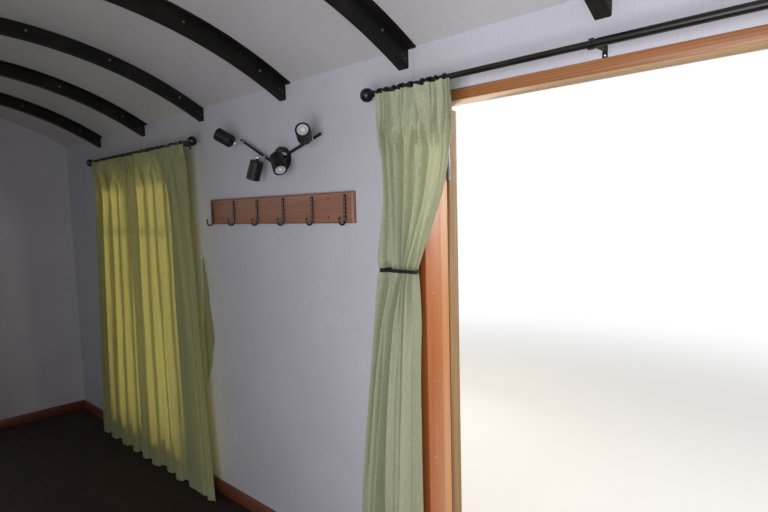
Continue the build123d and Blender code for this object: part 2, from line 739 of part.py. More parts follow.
def curtain_top(height, pole_radius):
    """Top of a curtain that hangs from rings, measured from the floor."""
    return height - ring_drop(pole_radius) - RING_INNER - 2 * RING_WIRE - CURTAIN_CLEAR


def door_pole_rings():
    left = DOOR_LEFT + DOOR_CURTAIN_TOP[0] + CURTAIN_ROUND
    right = DOOR_LEFT + DOOR_CURTAIN_TOP[1] - CURTAIN_ROUND
    places = spread(left, right, DOOR_RING_COUNT, [DOOR_LEFT + BRACKET_INSET])
    rings = [ring(x, DOOR_POLE_HEIGHT, DOOR_POLE_INNER) for x in places]
    rings += [ring(2 * DOORWAY_CENTRE - x, DOOR_POLE_HEIGHT, DOOR_POLE_OUTER) for x in places]
    return group(rings)


def window_pole_rings():
    start = WINDOW_LEFT + WINDOW_CURTAIN_TOP[0] + CURTAIN_ROUND
    end = WINDOW_RIGHT + WINDOW_CURTAIN_TOP[1] - CURTAIN_ROUND
    places = spread(start, end, WINDOW_RING_COUNT, window_bracket_places())
    return group(ring(x, WINDOW_POLE_HEIGHT, WINDOW_POLE_RADIUS) for x in places)


# Curtains
def curtain(top_level, top_row, rows, left_side, right_side):
    """A closed form lofted straight through its level sections, each row set out from the opening's sides."""
    sections = []
    for level, left, right, wall_side, room_side in ((top_level, *top_row), *rows):
        edges = (left_side + left, right_side + right)
        outline = RectangleRounded(edges[1] - edges[0], room_side - wall_side, CURTAIN_ROUND)
        sections.append(Pos(sum(edges) / 2, -(wall_side + room_side) / 2, FLOOR + level) * outline)
    return loft(sections, ruled=True)


def door_curtain(pole_radius):
    """The left door curtain, whose edges are both set out from the doorway's left side."""
    top = curtain_top(DOOR_POLE_HEIGHT, pole_radius)
    return curtain(top, DOOR_CURTAIN_TOP, DOOR_CURTAIN_ROWS, DOOR_LEFT, DOOR_LEFT)


def window_curtain():
    top = curtain_top(WINDOW_POLE_HEIGHT, WINDOW_POLE_RADIUS)
    return curtain(top, WINDOW_CURTAIN_TOP, WINDOW_CURTAIN_ROWS, WINDOW_LEFT, WINDOW_RIGHT)


def door_tieback():
    """The band round the waist of the left door curtain, with its eye on the wall."""
    waist, left, right, wall_side, room_side = DOOR_CURTAIN_ROWS[0]
    wide = right - left + 2 * CURTAIN_CLEAR
    deep = room_side - wall_side + 2 * CURTAIN_CLEAR
    corner = CURTAIN_ROUND + CURTAIN_CLEAR
    outline = RectangleRounded(wide + 2 * TIEBACK_THICK, deep + 2 * TIEBACK_THICK, corner + TIEBACK_THICK)
    band = extrude(outline - RectangleRounded(wide, deep, corner), TIEBACK_HEIGHT)
    low = (waist + DOOR_CURTAIN_ROWS[1][0]) / 2 - TIEBACK_HEIGHT / 2
    middle_x = DOOR_LEFT + (left + right) / 2
    band = Pos(middle_x, -(wall_side + room_side) / 2, FLOOR + low) * band
    eye_z = FLOOR + low + TIEBACK_HEIGHT / 2
    eye = rod((middle_x, 0, eye_z), (middle_x, -wall_side + TIEBACK_THICK / 2 + CURTAIN_CLEAR, eye_z), TIEBACK_THICK)
    return band + eye


def door_tiebacks():
    left = door_tieback()
    return group([left, other_side(left)])


def strap_hook():
    """A small wire hook screwed into the lining."""
    z = FLOOR + STRAP_HOOK_Z
    reach = STRAP_THICK + CURTAIN_CLEAR
    shank = rod((STRAP_HOOK_X, 0, z), (STRAP_HOOK_X, -reach - RING_WIRE, z), RING_WIRE)
    tip = rod((STRAP_HOOK_X, -reach - RING_WIRE, z - RING_WIRE), (STRAP_HOOK_X, -reach - RING_WIRE, z + 3 * HOOK_WIRE), RING_WIRE)
    return shank + tip


def window_strap():
    """The loose cloth strap that hangs from its hook."""
    z = FLOOR + STRAP_HOOK_Z - RING_WIRE - CURTAIN_CLEAR
    half = STRAP_THICK / 2
    sections = []
    for share, middle, width in STRAP_LEVELS:
        place = Pos(STRAP_HOOK_X + middle, -CURTAIN_CLEAR - half, z - share * STRAP_LENGTH)
        sections.append(place * Rectangle(width, STRAP_THICK))
    return loft(sections, ruled=True)


PIECES = {
    "outer_bearer": outer_bearer,
    "centre_bearer": centre_bearer,
    "floor_joists": floor_joists,
    "floor_boards": floor_boards,
    "side_wall_core": side_wall_core,
    "side_wall_lining": side_wall_lining,
    "side_wall_boarding": side_wall_boarding,
    "cantrail": cantrail,
    "end_wall_core": end_wall_core,
    "end_wall_lining": end_wall_lining,
    "end_wall_boarding": end_wall_boarding,
    "corner_board": corner_board,
    "ceiling_lining": ceiling_lining,
    "roof_core": roof_core,
    "roof_skin": roof_skin,
    "door_jamb_left": door_jamb,
    "door_jamb_right": lambda: other_side(door_jamb()),
    "door_head": door_head,
    "door_sill": door_sill,
    "door_leaf_left": lambda: folded_back(door_leaf()),
    "door_leaf_right": lambda: other_side(folded_back(door_leaf())),
    "hinge_butts_left": hinge_fixed,
    "hinge_butts_right": lambda: other_side(hinge_fixed()),
    "hinge_flaps_left": lambda: folded_back(hinge_moving()),
    "hinge_flaps_right": lambda: other_side(folded_back(hinge_moving())),
    "window_posts": window_posts,
    "window_rails": window_rails,
    "window_sashes": window_sashes,
    "window_glass": window_glass,
    "skirting": skirting,
    "coat_rail": coat_rail,
    "coat_hooks": coat_hooks,
    "spot_bar": spot_bar,
    "spot_stems": spot_stems,
    "door_pole_inner": door_pole_inner,
    "door_pole_outer": door_pole_outer,
    "door_pole_brackets": door_pole_brackets,
    "door_pole_rings": door_pole_rings,
    "window_pole": window_pole,
    "window_pole_brackets": window_pole_brackets,
    "window_pole_rings": window_pole_rings,
    "door_curtain_left": lambda: door_curtain(DOOR_POLE_INNER),
    "door_curtain_right": lambda: other_side(door_curtain(DOOR_POLE_OUTER)),
    "window_curtain": window_curtain,
    "door_tiebacks": door_tiebacks,
    "strap_hook": strap_hook,
    "window_strap": window_strap,
}
for number in range(1, HOOP_COUNT + 1):
    PIECES[f"hoop_{number}"] = lambda n=number: hoop(n * HOOP_PITCH, n == CHANNEL_HOOP)
for number, (foot, ball, way) in enumerate(SPOTS, start=1):
    PIECES[f"spot_head_{number}"] = lambda b=ball, w=way: spot_head(b, w)

os.makedirs("parts", exist_ok=True)
for name, make in PIECES.items():
    export_step(make(), f"parts/{name}.step")
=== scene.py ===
import logging
import math
import random
from collections.abc import Sequence
from dataclasses import dataclass, replace
from enum import Enum
from typing import Any

import bmesh
import bpy
from mathutils import Matrix, Vector, noise

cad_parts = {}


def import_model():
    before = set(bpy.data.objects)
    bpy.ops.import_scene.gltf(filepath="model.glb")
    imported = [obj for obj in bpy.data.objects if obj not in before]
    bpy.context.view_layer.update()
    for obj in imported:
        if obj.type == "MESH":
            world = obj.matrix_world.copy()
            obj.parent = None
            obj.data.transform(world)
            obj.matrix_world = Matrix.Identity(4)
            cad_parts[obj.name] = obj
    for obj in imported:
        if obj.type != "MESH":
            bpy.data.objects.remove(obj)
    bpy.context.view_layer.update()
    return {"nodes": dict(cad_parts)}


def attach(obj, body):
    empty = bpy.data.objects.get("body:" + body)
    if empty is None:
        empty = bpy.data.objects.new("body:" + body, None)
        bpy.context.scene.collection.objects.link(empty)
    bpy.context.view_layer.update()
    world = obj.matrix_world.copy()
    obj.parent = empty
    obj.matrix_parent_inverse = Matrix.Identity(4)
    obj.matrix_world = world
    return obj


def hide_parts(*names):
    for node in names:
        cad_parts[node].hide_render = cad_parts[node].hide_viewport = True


LOG = logging.getLogger("cabin")

# Levels and places that the source of the solids also names, in metres.
FLOOR = 0.2
CROWN_Y = -1.05
ARC_CENTRE_Z = 0.460592
ROOF_INSIDE_RADIUS = 2.124
LENGTH = 5.65
WALL_OUTSIDE = 0.15
END_OUTSIDE = -0.15
DOOR_LEFT, DOOR_RIGHT, DOOR_CENTRE = 3.561, 4.839, 4.2
WINDOW_LEFT, WINDOW_RIGHT, WINDOW_CENTRE = 0.84, 1.84, 1.34
WINDOW_SILL = FLOOR + 0.25
HEAD_LEVEL = FLOOR + 1.891
POLE_Y = -0.09

# Plain white.
WHITE = "#ffffff"

# Vertices nearer than this are one, and faces that meet at less than this angle are one.
WELD = 1e-5
FINE_WELD = 1e-6
FLAT_ANGLE = math.radians(1)
# Edges sharper than this are arrises. A cloth has none.
ARRIS_ANGLE = math.radians(30)
CLOTH_CREASE = 180.0
# Places across and down a cloth are the same when they agree to this many digits.
CLOTH_DIGITS = 6

Pair = tuple[float, float]
Point = tuple[float, float, float]
Outline = tuple[Pair, ...]


class Grain(Enum):
    """The way the fibres of a timber run."""

    X = 0
    Y = 1
    Z = 2


class Side(Enum):
    """Which side of the doorway a piece belongs to."""

    LEFT = 1
    RIGHT = -1

    @property
    def word(self) -> str:
        """The side's name as the pieces' names have it."""
        return self.name.lower()

    def mirror(self, x: float) -> float:
        """A place on the doorway's left, or its mirror image on the right."""
        return DOOR_CENTRE + self.value * (x - DOOR_CENTRE)


def linear(hex_colour: str) -> tuple[float, float, float, float]:
    """Turns an sRGB hex colour to linear light.

    Args:
        hex_colour: The colour as "#rrggbb".

    Returns:
        Red, green, blue and an alpha of 1.
    """
    parts = [int(hex_colour[i : i + 2], 16) / 255 for i in (1, 3, 5)]
    bent = [p / 12.92 if p <= 0.04045 else ((p + 0.055) / 1.055) ** 2.4 for p in parts]
    return (bent[0], bent[1], bent[2], 1.0)


def add(
    tree: bpy.types.NodeTree,
    kind: str,
    sockets: dict[str | int, Any] | None = None,
    stops: Sequence[tuple[float, str]] = (),
    **settings: Any,
) -> bpy.types.Node:
    """Adds a node with its settings and links.

    Args:
        tree: The node tree that it goes into.
        kind: The node's type name without its ShaderNode prefix.
        sockets: For each input, a value or the output that feeds it.
        stops: The colours of a colour ramp, as position and hex colour.
        **settings: The node's own properties.

    Returns:
        The new node.
    """
    made = tree.nodes.new("ShaderNode" + kind)
    for name, value in settings.items():
        setattr(made, name, value)
    for key, value in (sockets or {}).items():
        if isinstance(value, bpy.types.NodeSocket):
            tree.links.new(value, made.inputs[key])
        else:
            made.inputs[key].default_value = value
    for place, (position, colour) in enumerate(stops):
        held = made.color_ramp.elements
        stop = held[place] if place < 2 else held.new(position)
        stop.position = position
        stop.color = linear(colour)
    return made


@dataclass(frozen=True)
class Finish:
    """A surface finish, made into a material the first time it is asked for."""

    name: str

    def material(self) -> bpy.types.Material:
        """Returns the material of this finish."""
        held = bpy.data.materials.get(self.name)
        if held is not None:
            return held
        made = bpy.data.materials.new(self.name)
        made.use_nodes = True
        tree = made.node_tree
        tree.nodes.clear()
        shader = add(tree, "BsdfPrincipled")
        self.dress(tree, shader)
        add(tree, "OutputMaterial", {"Surface": self.surface(tree, shader)})
        return made

    def dress(self, tree: bpy.types.NodeTree, shader: bpy.types.Node) -> None:
        """Sets the shader's values and patterns."""
        raise NotImplementedError

    def surface(self, tree: bpy.types.NodeTree, shader: bpy.types.Node) -> bpy.types.NodeSocket:
        """Returns the output that the surface shows."""
        return shader.outputs[0]


@dataclass(frozen=True)
class TexturedPaint(Finish):
    """White emulsion over an embossed lining paper: matt, with fine upright slubs that catch side light."""

    colour: str
    shade: str
    slub_width: float
    slub_length: float
    relief: float
    roughness: float = 0.62
    fleck: float = 0.07
    mottle: float = 2.2

    def dress(self, tree: bpy.types.NodeTree, shader: bpy.types.Node) -> None:
        """Sets the paint's tint, its roller mottle and the slubs' relief."""
        place = add(tree, "TexCoord").outputs["Object"]
        stretched = add(
            tree,
            "Mapping",
            {0: place, "Scale": (1 / self.slub_width, 1 / self.slub_width, 1 / self.slub_length)},
        ).outputs[0]
        slubs = add(
            tree,
            "TexNoise",
            {"Vector": stretched, "Scale": 1.0, "Detail": 3.0, "Roughness": 0.62},
        ).outputs["Fac"]
        flecks = add(tree, "MapRange", {0: slubs, 1: 0.42, 2: 0.68, 3: 0.0, 4: 1.0}).outputs[0]
        mottle = add(
            tree, "TexNoise", {"Vector": place, "Scale": self.mottle, "Detail": 4.0, "Roughness": 0.55}
        ).outputs["Fac"]
        tint = add(
            tree, "ValToRGB", {0: mottle}, stops=((0.3, self.shade), (0.7, self.colour))
        ).outputs[0]
        share = add(tree, "Math", {0: flecks, 1: self.fleck}, operation="MULTIPLY").outputs[0]
        flecked = add(tree, "Mix", {0: share, 6: tint, 7: linear(WHITE)}, data_type="RGBA").outputs[2]
        tree.links.new(flecked, shader.inputs["Base Color"])
        shader.inputs["Roughness"].default_value = self.roughness
        bump = add(
            tree, "Bump", {"Strength": 0.6, "Distance": self.relief, "Height": flecks}
        ).outputs[0]
        tree.links.new(bump, shader.inputs["Normal"])


@dataclass(frozen=True)
class Timber(Finish):
    """Planed softwood: straight growth rings, short fibres that catch the light, and now and then a knot.

    Ring, knot and relief are in metres, and fibre, streak and wander are how many go to the metre across
    the grain. The drawn_out values say how much longer a pattern runs along the grain.

    Attributes:
        fade: Where in Y the paler outdoor colour starts and is full.
        front_shade: What the colour is multiplied by at the room-side face, as painted shade.
        board_shift: How far one board's pattern is set off from the next.
        halo: The knot sizes between which the rings calm down again round a knot.
        swerve: How many rings wide they swerve there.
        drift: How many rings wide they wander elsewhere.
        slope: How much faster the rings change across the wood's depth than across its face.
        shares: How much rings, fibres and the board's own tone add to the streaks.
        contrast: The sums at which the wood is palest and deepest.
        weathering: How far the paler outdoor colour covers the wood.
        front: The depths between which the painted shade of the front face ends.
        heart: The knot sizes between which a knot's dark heart fades.
        heart_share: How dark that heart is.
        gloss: How much the roughness falls and rises with the fibres.
    """

    grain: Grain
    pale: str
    deep: str
    ring: float = 0.009
    knot_pitch: float = 0.42
    knot_size: float = 0.03
    roughness: float = 0.55
    coat: float = 0.0
    relief: float = 0.0003
    weathered: str = ""
    fade: Pair = (0.0, 0.0)
    front_shade: str = WHITE
    specular: float = 0.5
    knot: str = "#4a2c1a"
    fibre: float = 420.0
    streak: float = 38.0
    wander: float = 16.0
    drawn_out: float = 0.045
    knot_drawn_out: float = 0.55
    board_shift: float = 7.3
    halo: Pair = (0.4, 3.2)
    swerve: float = 5.0
    drift: float = 7.0
    slope: float = 0.8
    shares: Point = (0.42, 0.35, 0.25)
    contrast: Pair = (0.45, 1.3)
    weathering: float = 0.75
    front: Pair = (0.0006, 0.0026)
    heart: Pair = (0.25, 0.5)
    heart_share: float = 0.75
    gloss: Pair = (-0.07, 0.1)
    coat_roughness: float = 0.28

    def dress(self, tree: bpy.types.NodeTree, shader: bpy.types.Node) -> None:
        """Sets rings, fibres, knots, and the fade from the room side outwards."""
        place = add(tree, "TexCoord").outputs["Object"]
        tone = add(tree, "Attribute", attribute_name="tone").outputs["Fac"]
        shift = add(tree, "Math", {0: tone, 1: self.board_shift}, operation="MULTIPLY").outputs[0]
        apart = add(tree, "CombineXYZ", {0: shift, 1: shift, 2: shift}).outputs[0]
        moved = add(tree, "VectorMath", {0: place, 1: apart}, operation="ADD").outputs[0]
        along = [1.0, 1.0, 1.0]
        along[self.grain.value] = self.drawn_out
        long_way = add(tree, "Mapping", {0: moved, "Scale": along}).outputs[0]
        from_knot = self.knots(tree, moved)
        rings = self.rings(tree, long_way, from_knot)
        fibres = add(
            tree, "TexNoise", {"Vector": long_way, "Scale": self.fibre, "Detail": 3.0, "Roughness": 0.6}
        ).outputs["Fac"]
        depth = add(
            tree, "TexNoise", {"Vector": long_way, "Scale": self.streak, "Detail": 3.0, "Roughness": 0.55}
        ).outputs["Fac"]
        for source, share in zip((rings, fibres, tone), self.shares):
            depth = add(tree, "Math", {0: source, 1: share, 2: depth}, operation="MULTIPLY_ADD").outputs[0]
        pale, deep = self.contrast
        depth = add(tree, "MapRange", {0: depth, 1: pale, 2: deep, 3: 0.0, 4: 1.0}).outputs[0]
        tree.links.new(self.colours(tree, place, depth, from_knot), shader.inputs["Base Color"])
        smooth, dull = (self.roughness + change for change in self.gloss)
        rough = add(tree, "MapRange", {0: fibres, 1: 0.3, 2: 0.7, 3: smooth, 4: dull}).outputs[0]
        tree.links.new(rough, shader.inputs["Roughness"])
        shader.inputs["Specular IOR Level"].default_value = self.specular
        shader.inputs["Coat Weight"].default_value = self.coat
        shader.inputs["Coat Roughness"].default_value = self.coat_roughness
        height = add(tree, "Math", {0: rings, 1: 0.5, 2: fibres}, operation="MULTIPLY_ADD").outputs[0]
        bump = add(tree, "Bump", {"Strength": 0.4, "Distance": self.relief, "Height": height}).outputs[0]
        tree.links.new(bump, shader.inputs["Normal"])

    def knots(self, tree: bpy.types.NodeTree, moved: bpy.types.NodeSocket) -> bpy.types.NodeSocket:
        """Scatters the knots.

        Args:
            tree: The material's node tree.
            moved: The place on the board, set off from the other boards.

        Returns:
            The distance in metres to the nearest knot.
        """
        squat = [1.0, 1.0, 1.0]
        squat[self.grain.value] = self.knot_drawn_out
        room = add(tree, "Mapping", {0: moved, "Scale": squat}).outputs[0]
        knots = add(
            tree, "TexVoronoi", {"Vector": room, "Scale": 1 / self.knot_pitch, "Randomness": 1.0}
        ).outputs["Distance"]
        return add(tree, "Math", {0: knots, 1: self.knot_pitch}, operation="MULTIPLY").outputs[0]

    def rings(
        self, tree: bpy.types.NodeTree, long_way: bpy.types.NodeSocket, from_knot: bpy.types.NodeSocket
    ) -> bpy.types.NodeSocket:
        """Draws the growth rings, which wander and swerve round each knot.

        Args:
            tree: The material's node tree.
            long_way: The place on the board, drawn out along the grain.
            from_knot: The distance to the nearest knot.

        Returns:
            The rings, from 0 to 1.
        """
        inner, outer = (self.knot_size * share for share in self.halo)
        near_knot = add(
            tree,
            "MapRange",
            {0: from_knot, 1: inner, 2: outer, 3: 1.0, 4: 0.0},
            interpolation_type="SMOOTHSTEP",
        ).outputs[0]
        swerve = add(
            tree, "Math", {0: near_knot, 1: self.ring * self.swerve}, operation="MULTIPLY"
        ).outputs[0]
        wander = add(
            tree, "TexNoise", {"Vector": long_way, "Scale": self.wander, "Detail": 2.0, "Roughness": 0.5}
        ).outputs["Fac"]
        drift = add(
            tree, "Math", {0: wander, 1: self.ring * self.drift, 2: swerve}, operation="MULTIPLY_ADD"
        ).outputs[0]
        split = add(tree, "SeparateXYZ", {0: long_way}).outputs
        first, second = (split[i] for i in range(3) if i != self.grain.value)
        slope = add(
            tree, "Math", {0: first, 1: self.slope, 2: second}, operation="MULTIPLY_ADD"
        ).outputs[0]
        phase = add(tree, "Math", {0: slope, 1: drift}, operation="ADD").outputs[0]
        turns = add(tree, "Math", {0: phase, 1: 2 * math.pi / self.ring}, operation="MULTIPLY").outputs[0]
        wave = add(tree, "Math", {0: turns}, operation="SINE").outputs[0]
        return add(
            tree, "MapRange", {0: wave, 1: -0.2, 2: 1.0, 3: 0.0, 4: 1.0}, interpolation_type="SMOOTHSTEP"
        ).outputs[0]

    def colours(
        self,
        tree: bpy.types.NodeTree,
        place: bpy.types.NodeSocket,
        depth: bpy.types.NodeSocket,
        from_knot: bpy.types.NodeSocket,
    ) -> bpy.types.NodeSocket:
        """Colours the wood where the finish says so: paler outdoors, and darkened at its room-side face as
        painted shade.

        Args:
            tree: The material's node tree.
            place: The place on the board.
            depth: How deep the wood's colour is, from 0 to 1.
            from_knot: The distance to the nearest knot.

        Returns:
            The colour.
        """
        colour = add(tree, "ValToRGB", {0: depth}, stops=((0.0, self.pale), (1.0, self.deep))).outputs[0]
        # Paler towards outdoors: weathered outer boards in the uprights, and painted daylight in the level
        # fir.
        if self.weathered:
            outward = add(tree, "SeparateXYZ", {0: place}).outputs[1]
            start, full = self.fade
            share = add(
                tree,
                "MapRange",
                {0: outward, 1: start, 2: full, 3: 0.0, 4: self.weathering},
                interpolation_type="SMOOTHSTEP",
            ).outputs[0]
            pale_too = add(
                tree, "Mix", {0: depth, 6: linear(self.weathered), 7: linear(self.pale)}, data_type="RGBA"
            ).outputs[2]
            colour = add(tree, "Mix", {0: share, 6: colour, 7: pale_too}, data_type="RGBA").outputs[2]
        # Painted shade: the room-side face is darkened as if it were in shadow.
        if self.front_shade != WHITE:
            outward = add(tree, "SeparateXYZ", {0: place}).outputs[1]
            skin, end = self.front
            front = add(tree, "MapRange", {0: outward, 1: skin, 2: end, 3: 1.0, 4: 0.0}).outputs[0]
            colour = add(
                tree,
                "Mix",
                {0: front, 6: colour, 7: linear(self.front_shade)},
                data_type="RGBA",
                blend_type="MULTIPLY",
            ).outputs[2]
        dark, clear = (self.knot_size * share for share in self.heart)
        heart = add(
            tree,
            "MapRange",
            {0: from_knot, 1: dark, 2: clear, 3: self.heart_share, 4: 0.0},
            interpolation_type="SMOOTHSTEP",
        ).outputs[0]
        return add(tree, "Mix", {0: heart, 6: colour, 7: linear(self.knot)}, data_type="RGBA").outputs[2]


@dataclass(frozen=True)
class Enamel(Finish):
    """Paint or enamel on metal: even colour, a little orange peel, dust dulling it in patches."""

    colour: str
    roughness: float
    peel: float = 0.00012
    peel_size: float = 0.004
    coat: float = 0.0
    specular: float = 0.5
    dust: str = "#8d877d"
    patch: float = 9.0
    dust_share: float = 0.05
    dulling: Pair = (0.85, 1.25)
    coat_roughness: float = 0.12

    def dress(self, tree: bpy.types.NodeTree, shader: bpy.types.Node) -> None:
        """Sets the colour, its dusty patches and the fine relief of the coat."""
        place = add(tree, "TexCoord").outputs["Object"]
        patches = add(
            tree, "TexNoise", {"Vector": place, "Scale": self.patch, "Detail": 5.0, "Roughness": 0.6}
        ).outputs["Fac"]
        share = add(tree, "MapRange", {0: patches, 1: 0.5, 2: 0.8, 3: 0.0, 4: self.dust_share}).outputs[0]
        worn = add(
            tree, "Mix", {0: share, 6: linear(self.colour), 7: linear(self.dust)}, data_type="RGBA"
        ).outputs[2]
        tree.links.new(worn, shader.inputs["Base Color"])
        smooth, dull = (self.roughness * share for share in self.dulling)
        rough = add(tree, "MapRange", {0: patches, 1: 0.3, 2: 0.75, 3: smooth, 4: dull}).outputs[0]
        tree.links.new(rough, shader.inputs["Roughness"])
        shader.inputs["Specular IOR Level"].default_value = self.specular
        shader.inputs["Coat Weight"].default_value = self.coat
        shader.inputs["Coat Roughness"].default_value = self.coat_roughness
        ripple = add(
            tree, "TexNoise", {"Vector": place, "Scale": 1 / self.peel_size, "Detail": 2.0}
        ).outputs["Fac"]
        bump = add(tree, "Bump", {"Strength": 0.35, "Distance": self.peel, "Height": ripple}).outputs[0]
        tree.links.new(bump, shader.inputs["Normal"])


@dataclass(frozen=True)
class BareMetal(Finish):
    """Plated or rolled metal with fine handling marks that spread its reflections."""

    colour: str
    tarnish: str
    roughness: float
    mark: float = 0.003
    cloud: float = 30.0
    dulling: Pair = (0.7, 1.4)

    def dress(self, tree: bpy.types.NodeTree, shader: bpy.types.Node) -> None:
        """Sets the plate's colour, tarnish and handling marks."""
        place = add(tree, "TexCoord").outputs["Object"]
        cloud = add(
            tree, "TexNoise", {"Vector": place, "Scale": self.cloud, "Detail": 4.0, "Roughness": 0.6}
        ).outputs["Fac"]
        colour = add(
            tree, "ValToRGB", {0: cloud}, stops=((0.35, self.colour), (0.75, self.tarnish))
        ).outputs[0]
        tree.links.new(colour, shader.inputs["Base Color"])
        shader.inputs["Metallic"].default_value = 1.0
        marks = add(
            tree, "TexNoise", {"Vector": place, "Scale": 1 / self.mark, "Detail": 3.0}
        ).outputs["Fac"]
        smooth, dull = (self.roughness * share for share in self.dulling)
        rough = add(tree, "MapRange", {0: marks, 1: 0.3, 2: 0.7, 3: smooth, 4: dull}).outputs[0]
        tree.links.new(rough, shader.inputs["Roughness"])


@dataclass(frozen=True)
class SlubCloth(Finish):
    """Linen-look woven cloth: uneven threads, doubled in hem and heading, with daylight shining through."""

    colour: str
    thread: str
    glow: str
    through: float = 0.42
    fall: float = 1.93
    hem: float = 0.08
    heading: float = 0.072
    slub: float = 0.003
    roughness: float = 0.85
    seam: str = "#3d4028"
    stitch: float = 0.0016
    turn: float = 0.001
    hem_share: float = 0.6
    heading_share: float = 0.8
    stretch: float = 9.0
    stitch_shade: float = 0.3
    stitch_sink: float = -0.6
    sheen: float = 0.2
    relief: float = 0.0006

    def dress(self, tree: bpy.types.NodeTree, shader: bpy.types.Node) -> None:
        """Draws the slubs of warp and weft from the cloth's own map, which is in metres."""
        cloth = add(tree, "UVMap", uv_map="Cloth").outputs[0]
        fine, long = 1 / self.slub, 1 / (self.slub * self.stretch)
        warp = add(tree, "Mapping", {0: cloth, "Scale": (fine, long, 1.0)}).outputs[0]
        weft = add(tree, "Mapping", {0: cloth, "Scale": (long, fine, 1.0)}).outputs[0]
        noise_values = {"Scale": 1.0, "Detail": 2.0, "Roughness": 0.6}
        warps = add(tree, "TexNoise", {"Vector": warp, **noise_values}).outputs["Fac"]
        wefts = add(tree, "TexNoise", {"Vector": weft, **noise_values}).outputs["Fac"]
        both = add(tree, "Math", {0: warps, 1: wefts}, operation="ADD").outputs[0]
        share = add(tree, "MapRange", {0: both, 1: 0.75, 2: 1.25, 3: 0.0, 4: 1.0}).outputs[0]
        mixed = add(
            tree, "Mix", {0: share, 6: linear(self.thread), 7: linear(self.colour)}, data_type="RGBA"
        ).outputs[2]
        level = add(tree, "SeparateXYZ", {0: cloth}).outputs[1]
        stitched = add(
            tree, "Math", {0: level, 1: self.hem, 2: self.stitch}, operation="COMPARE"
        ).outputs[0]
        seam = add(tree, "Math", {0: stitched, 1: self.stitch_shade}, operation="MULTIPLY").outputs[0]
        sewn = add(tree, "Mix", {0: seam, 6: mixed, 7: linear(self.seam)}, data_type="RGBA").outputs[2]
        tree.links.new(sewn, shader.inputs["Base Color"])
        shader.inputs["Roughness"].default_value = self.roughness
        shader.inputs["Sheen Weight"].default_value = self.sheen
        shader.inputs["Sheen Roughness"].default_value = 0.5
        height = add(
            tree, "Math", {0: stitched, 1: self.stitch_sink, 2: both}, operation="MULTIPLY_ADD"
        ).outputs[0]
        bump = add(tree, "Bump", {"Strength": 0.5, "Distance": self.relief, "Height": height}).outputs[0]
        tree.links.new(bump, shader.inputs["Normal"])

    def surface(self, tree: bpy.types.NodeTree, shader: bpy.types.Node) -> bpy.types.NodeSocket:
        """Lets part of the light shine through the weave, less where the cloth is doubled."""
        cloth = add(tree, "UVMap", uv_map="Cloth").outputs[0]
        level = add(tree, "SeparateXYZ", {0: cloth}).outputs[1]
        in_hem = self.through * self.hem_share
        above_hem = add(
            tree, "MapRange", {0: level, 1: self.hem - self.turn, 2: self.hem, 3: in_hem, 4: self.through}
        ).outputs[0]
        edge = self.fall - self.heading
        below_head = add(
            tree, "MapRange", {0: level, 1: edge, 2: edge + self.turn, 3: 1.0, 4: self.heading_share}
        ).outputs[0]
        share = add(tree, "Math", {0: above_hem, 1: below_head}, operation="MULTIPLY").outputs[0]
        shining = add(tree, "BsdfTranslucent", {"Color": linear(self.glow)}).outputs[0]
        return add(tree, "MixShader", {0: share, 1: shader.outputs[0], 2: shining}).outputs[0]


@dataclass(frozen=True)
class PaneGlass(Finish):
    """Float glass: clear with a faint green cast, letting daylight pass without bending it much."""

    tint: str = "#e9f3ee"
    clearness: float = 0.22
    film: float = 14.0
    ior: float = 1.5

    def dress(self, tree: bpy.types.NodeTree, shader: bpy.types.Node) -> None:
        """Sets clear glass with slight dirt in its reflections."""
        place = add(tree, "TexCoord").outputs["Object"]
        film = add(tree, "TexNoise", {"Vector": place, "Scale": self.film, "Detail": 4.0}).outputs["Fac"]
        rough = add(tree, "MapRange", {0: film, 1: 0.3, 2: 0.8, 3: 0.01, 4: 0.08}).outputs[0]
        tree.links.new(rough, shader.inputs["Roughness"])
        shader.inputs["Base Color"].default_value = linear(self.tint)
        shader.inputs["IOR"].default_value = self.ior
        shader.inputs["Alpha"].default_value = self.clearness


@dataclass(frozen=True)
class LampLens(Finish):
    """Moulded lens of a spot lamp: milky, ribbed in rings, and unlit."""

    colour: str
    rim: str
    ring: float = 0.0035
    roughness: float = 0.22
    ior: float = 1.49
    relief: float = 0.0004

    def dress(self, tree: bpy.types.NodeTree, shader: bpy.types.Node) -> None:
        """Sets the milky plastic and its fine rings about the lens centre, read from the lens's own map."""
        lens = add(tree, "UVMap", uv_map="Lens").outputs[0]
        reach = add(tree, "SeparateXYZ", {0: lens}).outputs[0]
        turns = add(tree, "Math", {0: reach, 1: 2 * math.pi / self.ring}, operation="MULTIPLY").outputs[0]
        ribs = add(tree, "Math", {0: turns}, operation="SINE").outputs[0]
        share = add(tree, "MapRange", {0: ribs, 1: -1.0, 2: 1.0, 3: 0.0, 4: 1.0}).outputs[0]
        colour = add(
            tree, "Mix", {0: share, 6: linear(self.rim), 7: linear(self.colour)}, data_type="RGBA"
        ).outputs[2]
        tree.links.new(colour, shader.inputs["Base Color"])
        shader.inputs["Roughness"].default_value = self.roughness
        shader.inputs["IOR"].default_value = self.ior
        bump = add(tree, "Bump", {"Strength": 0.3, "Distance": self.relief, "Height": ribs}).outputs[0]
        tree.links.new(bump, shader.inputs["Normal"])


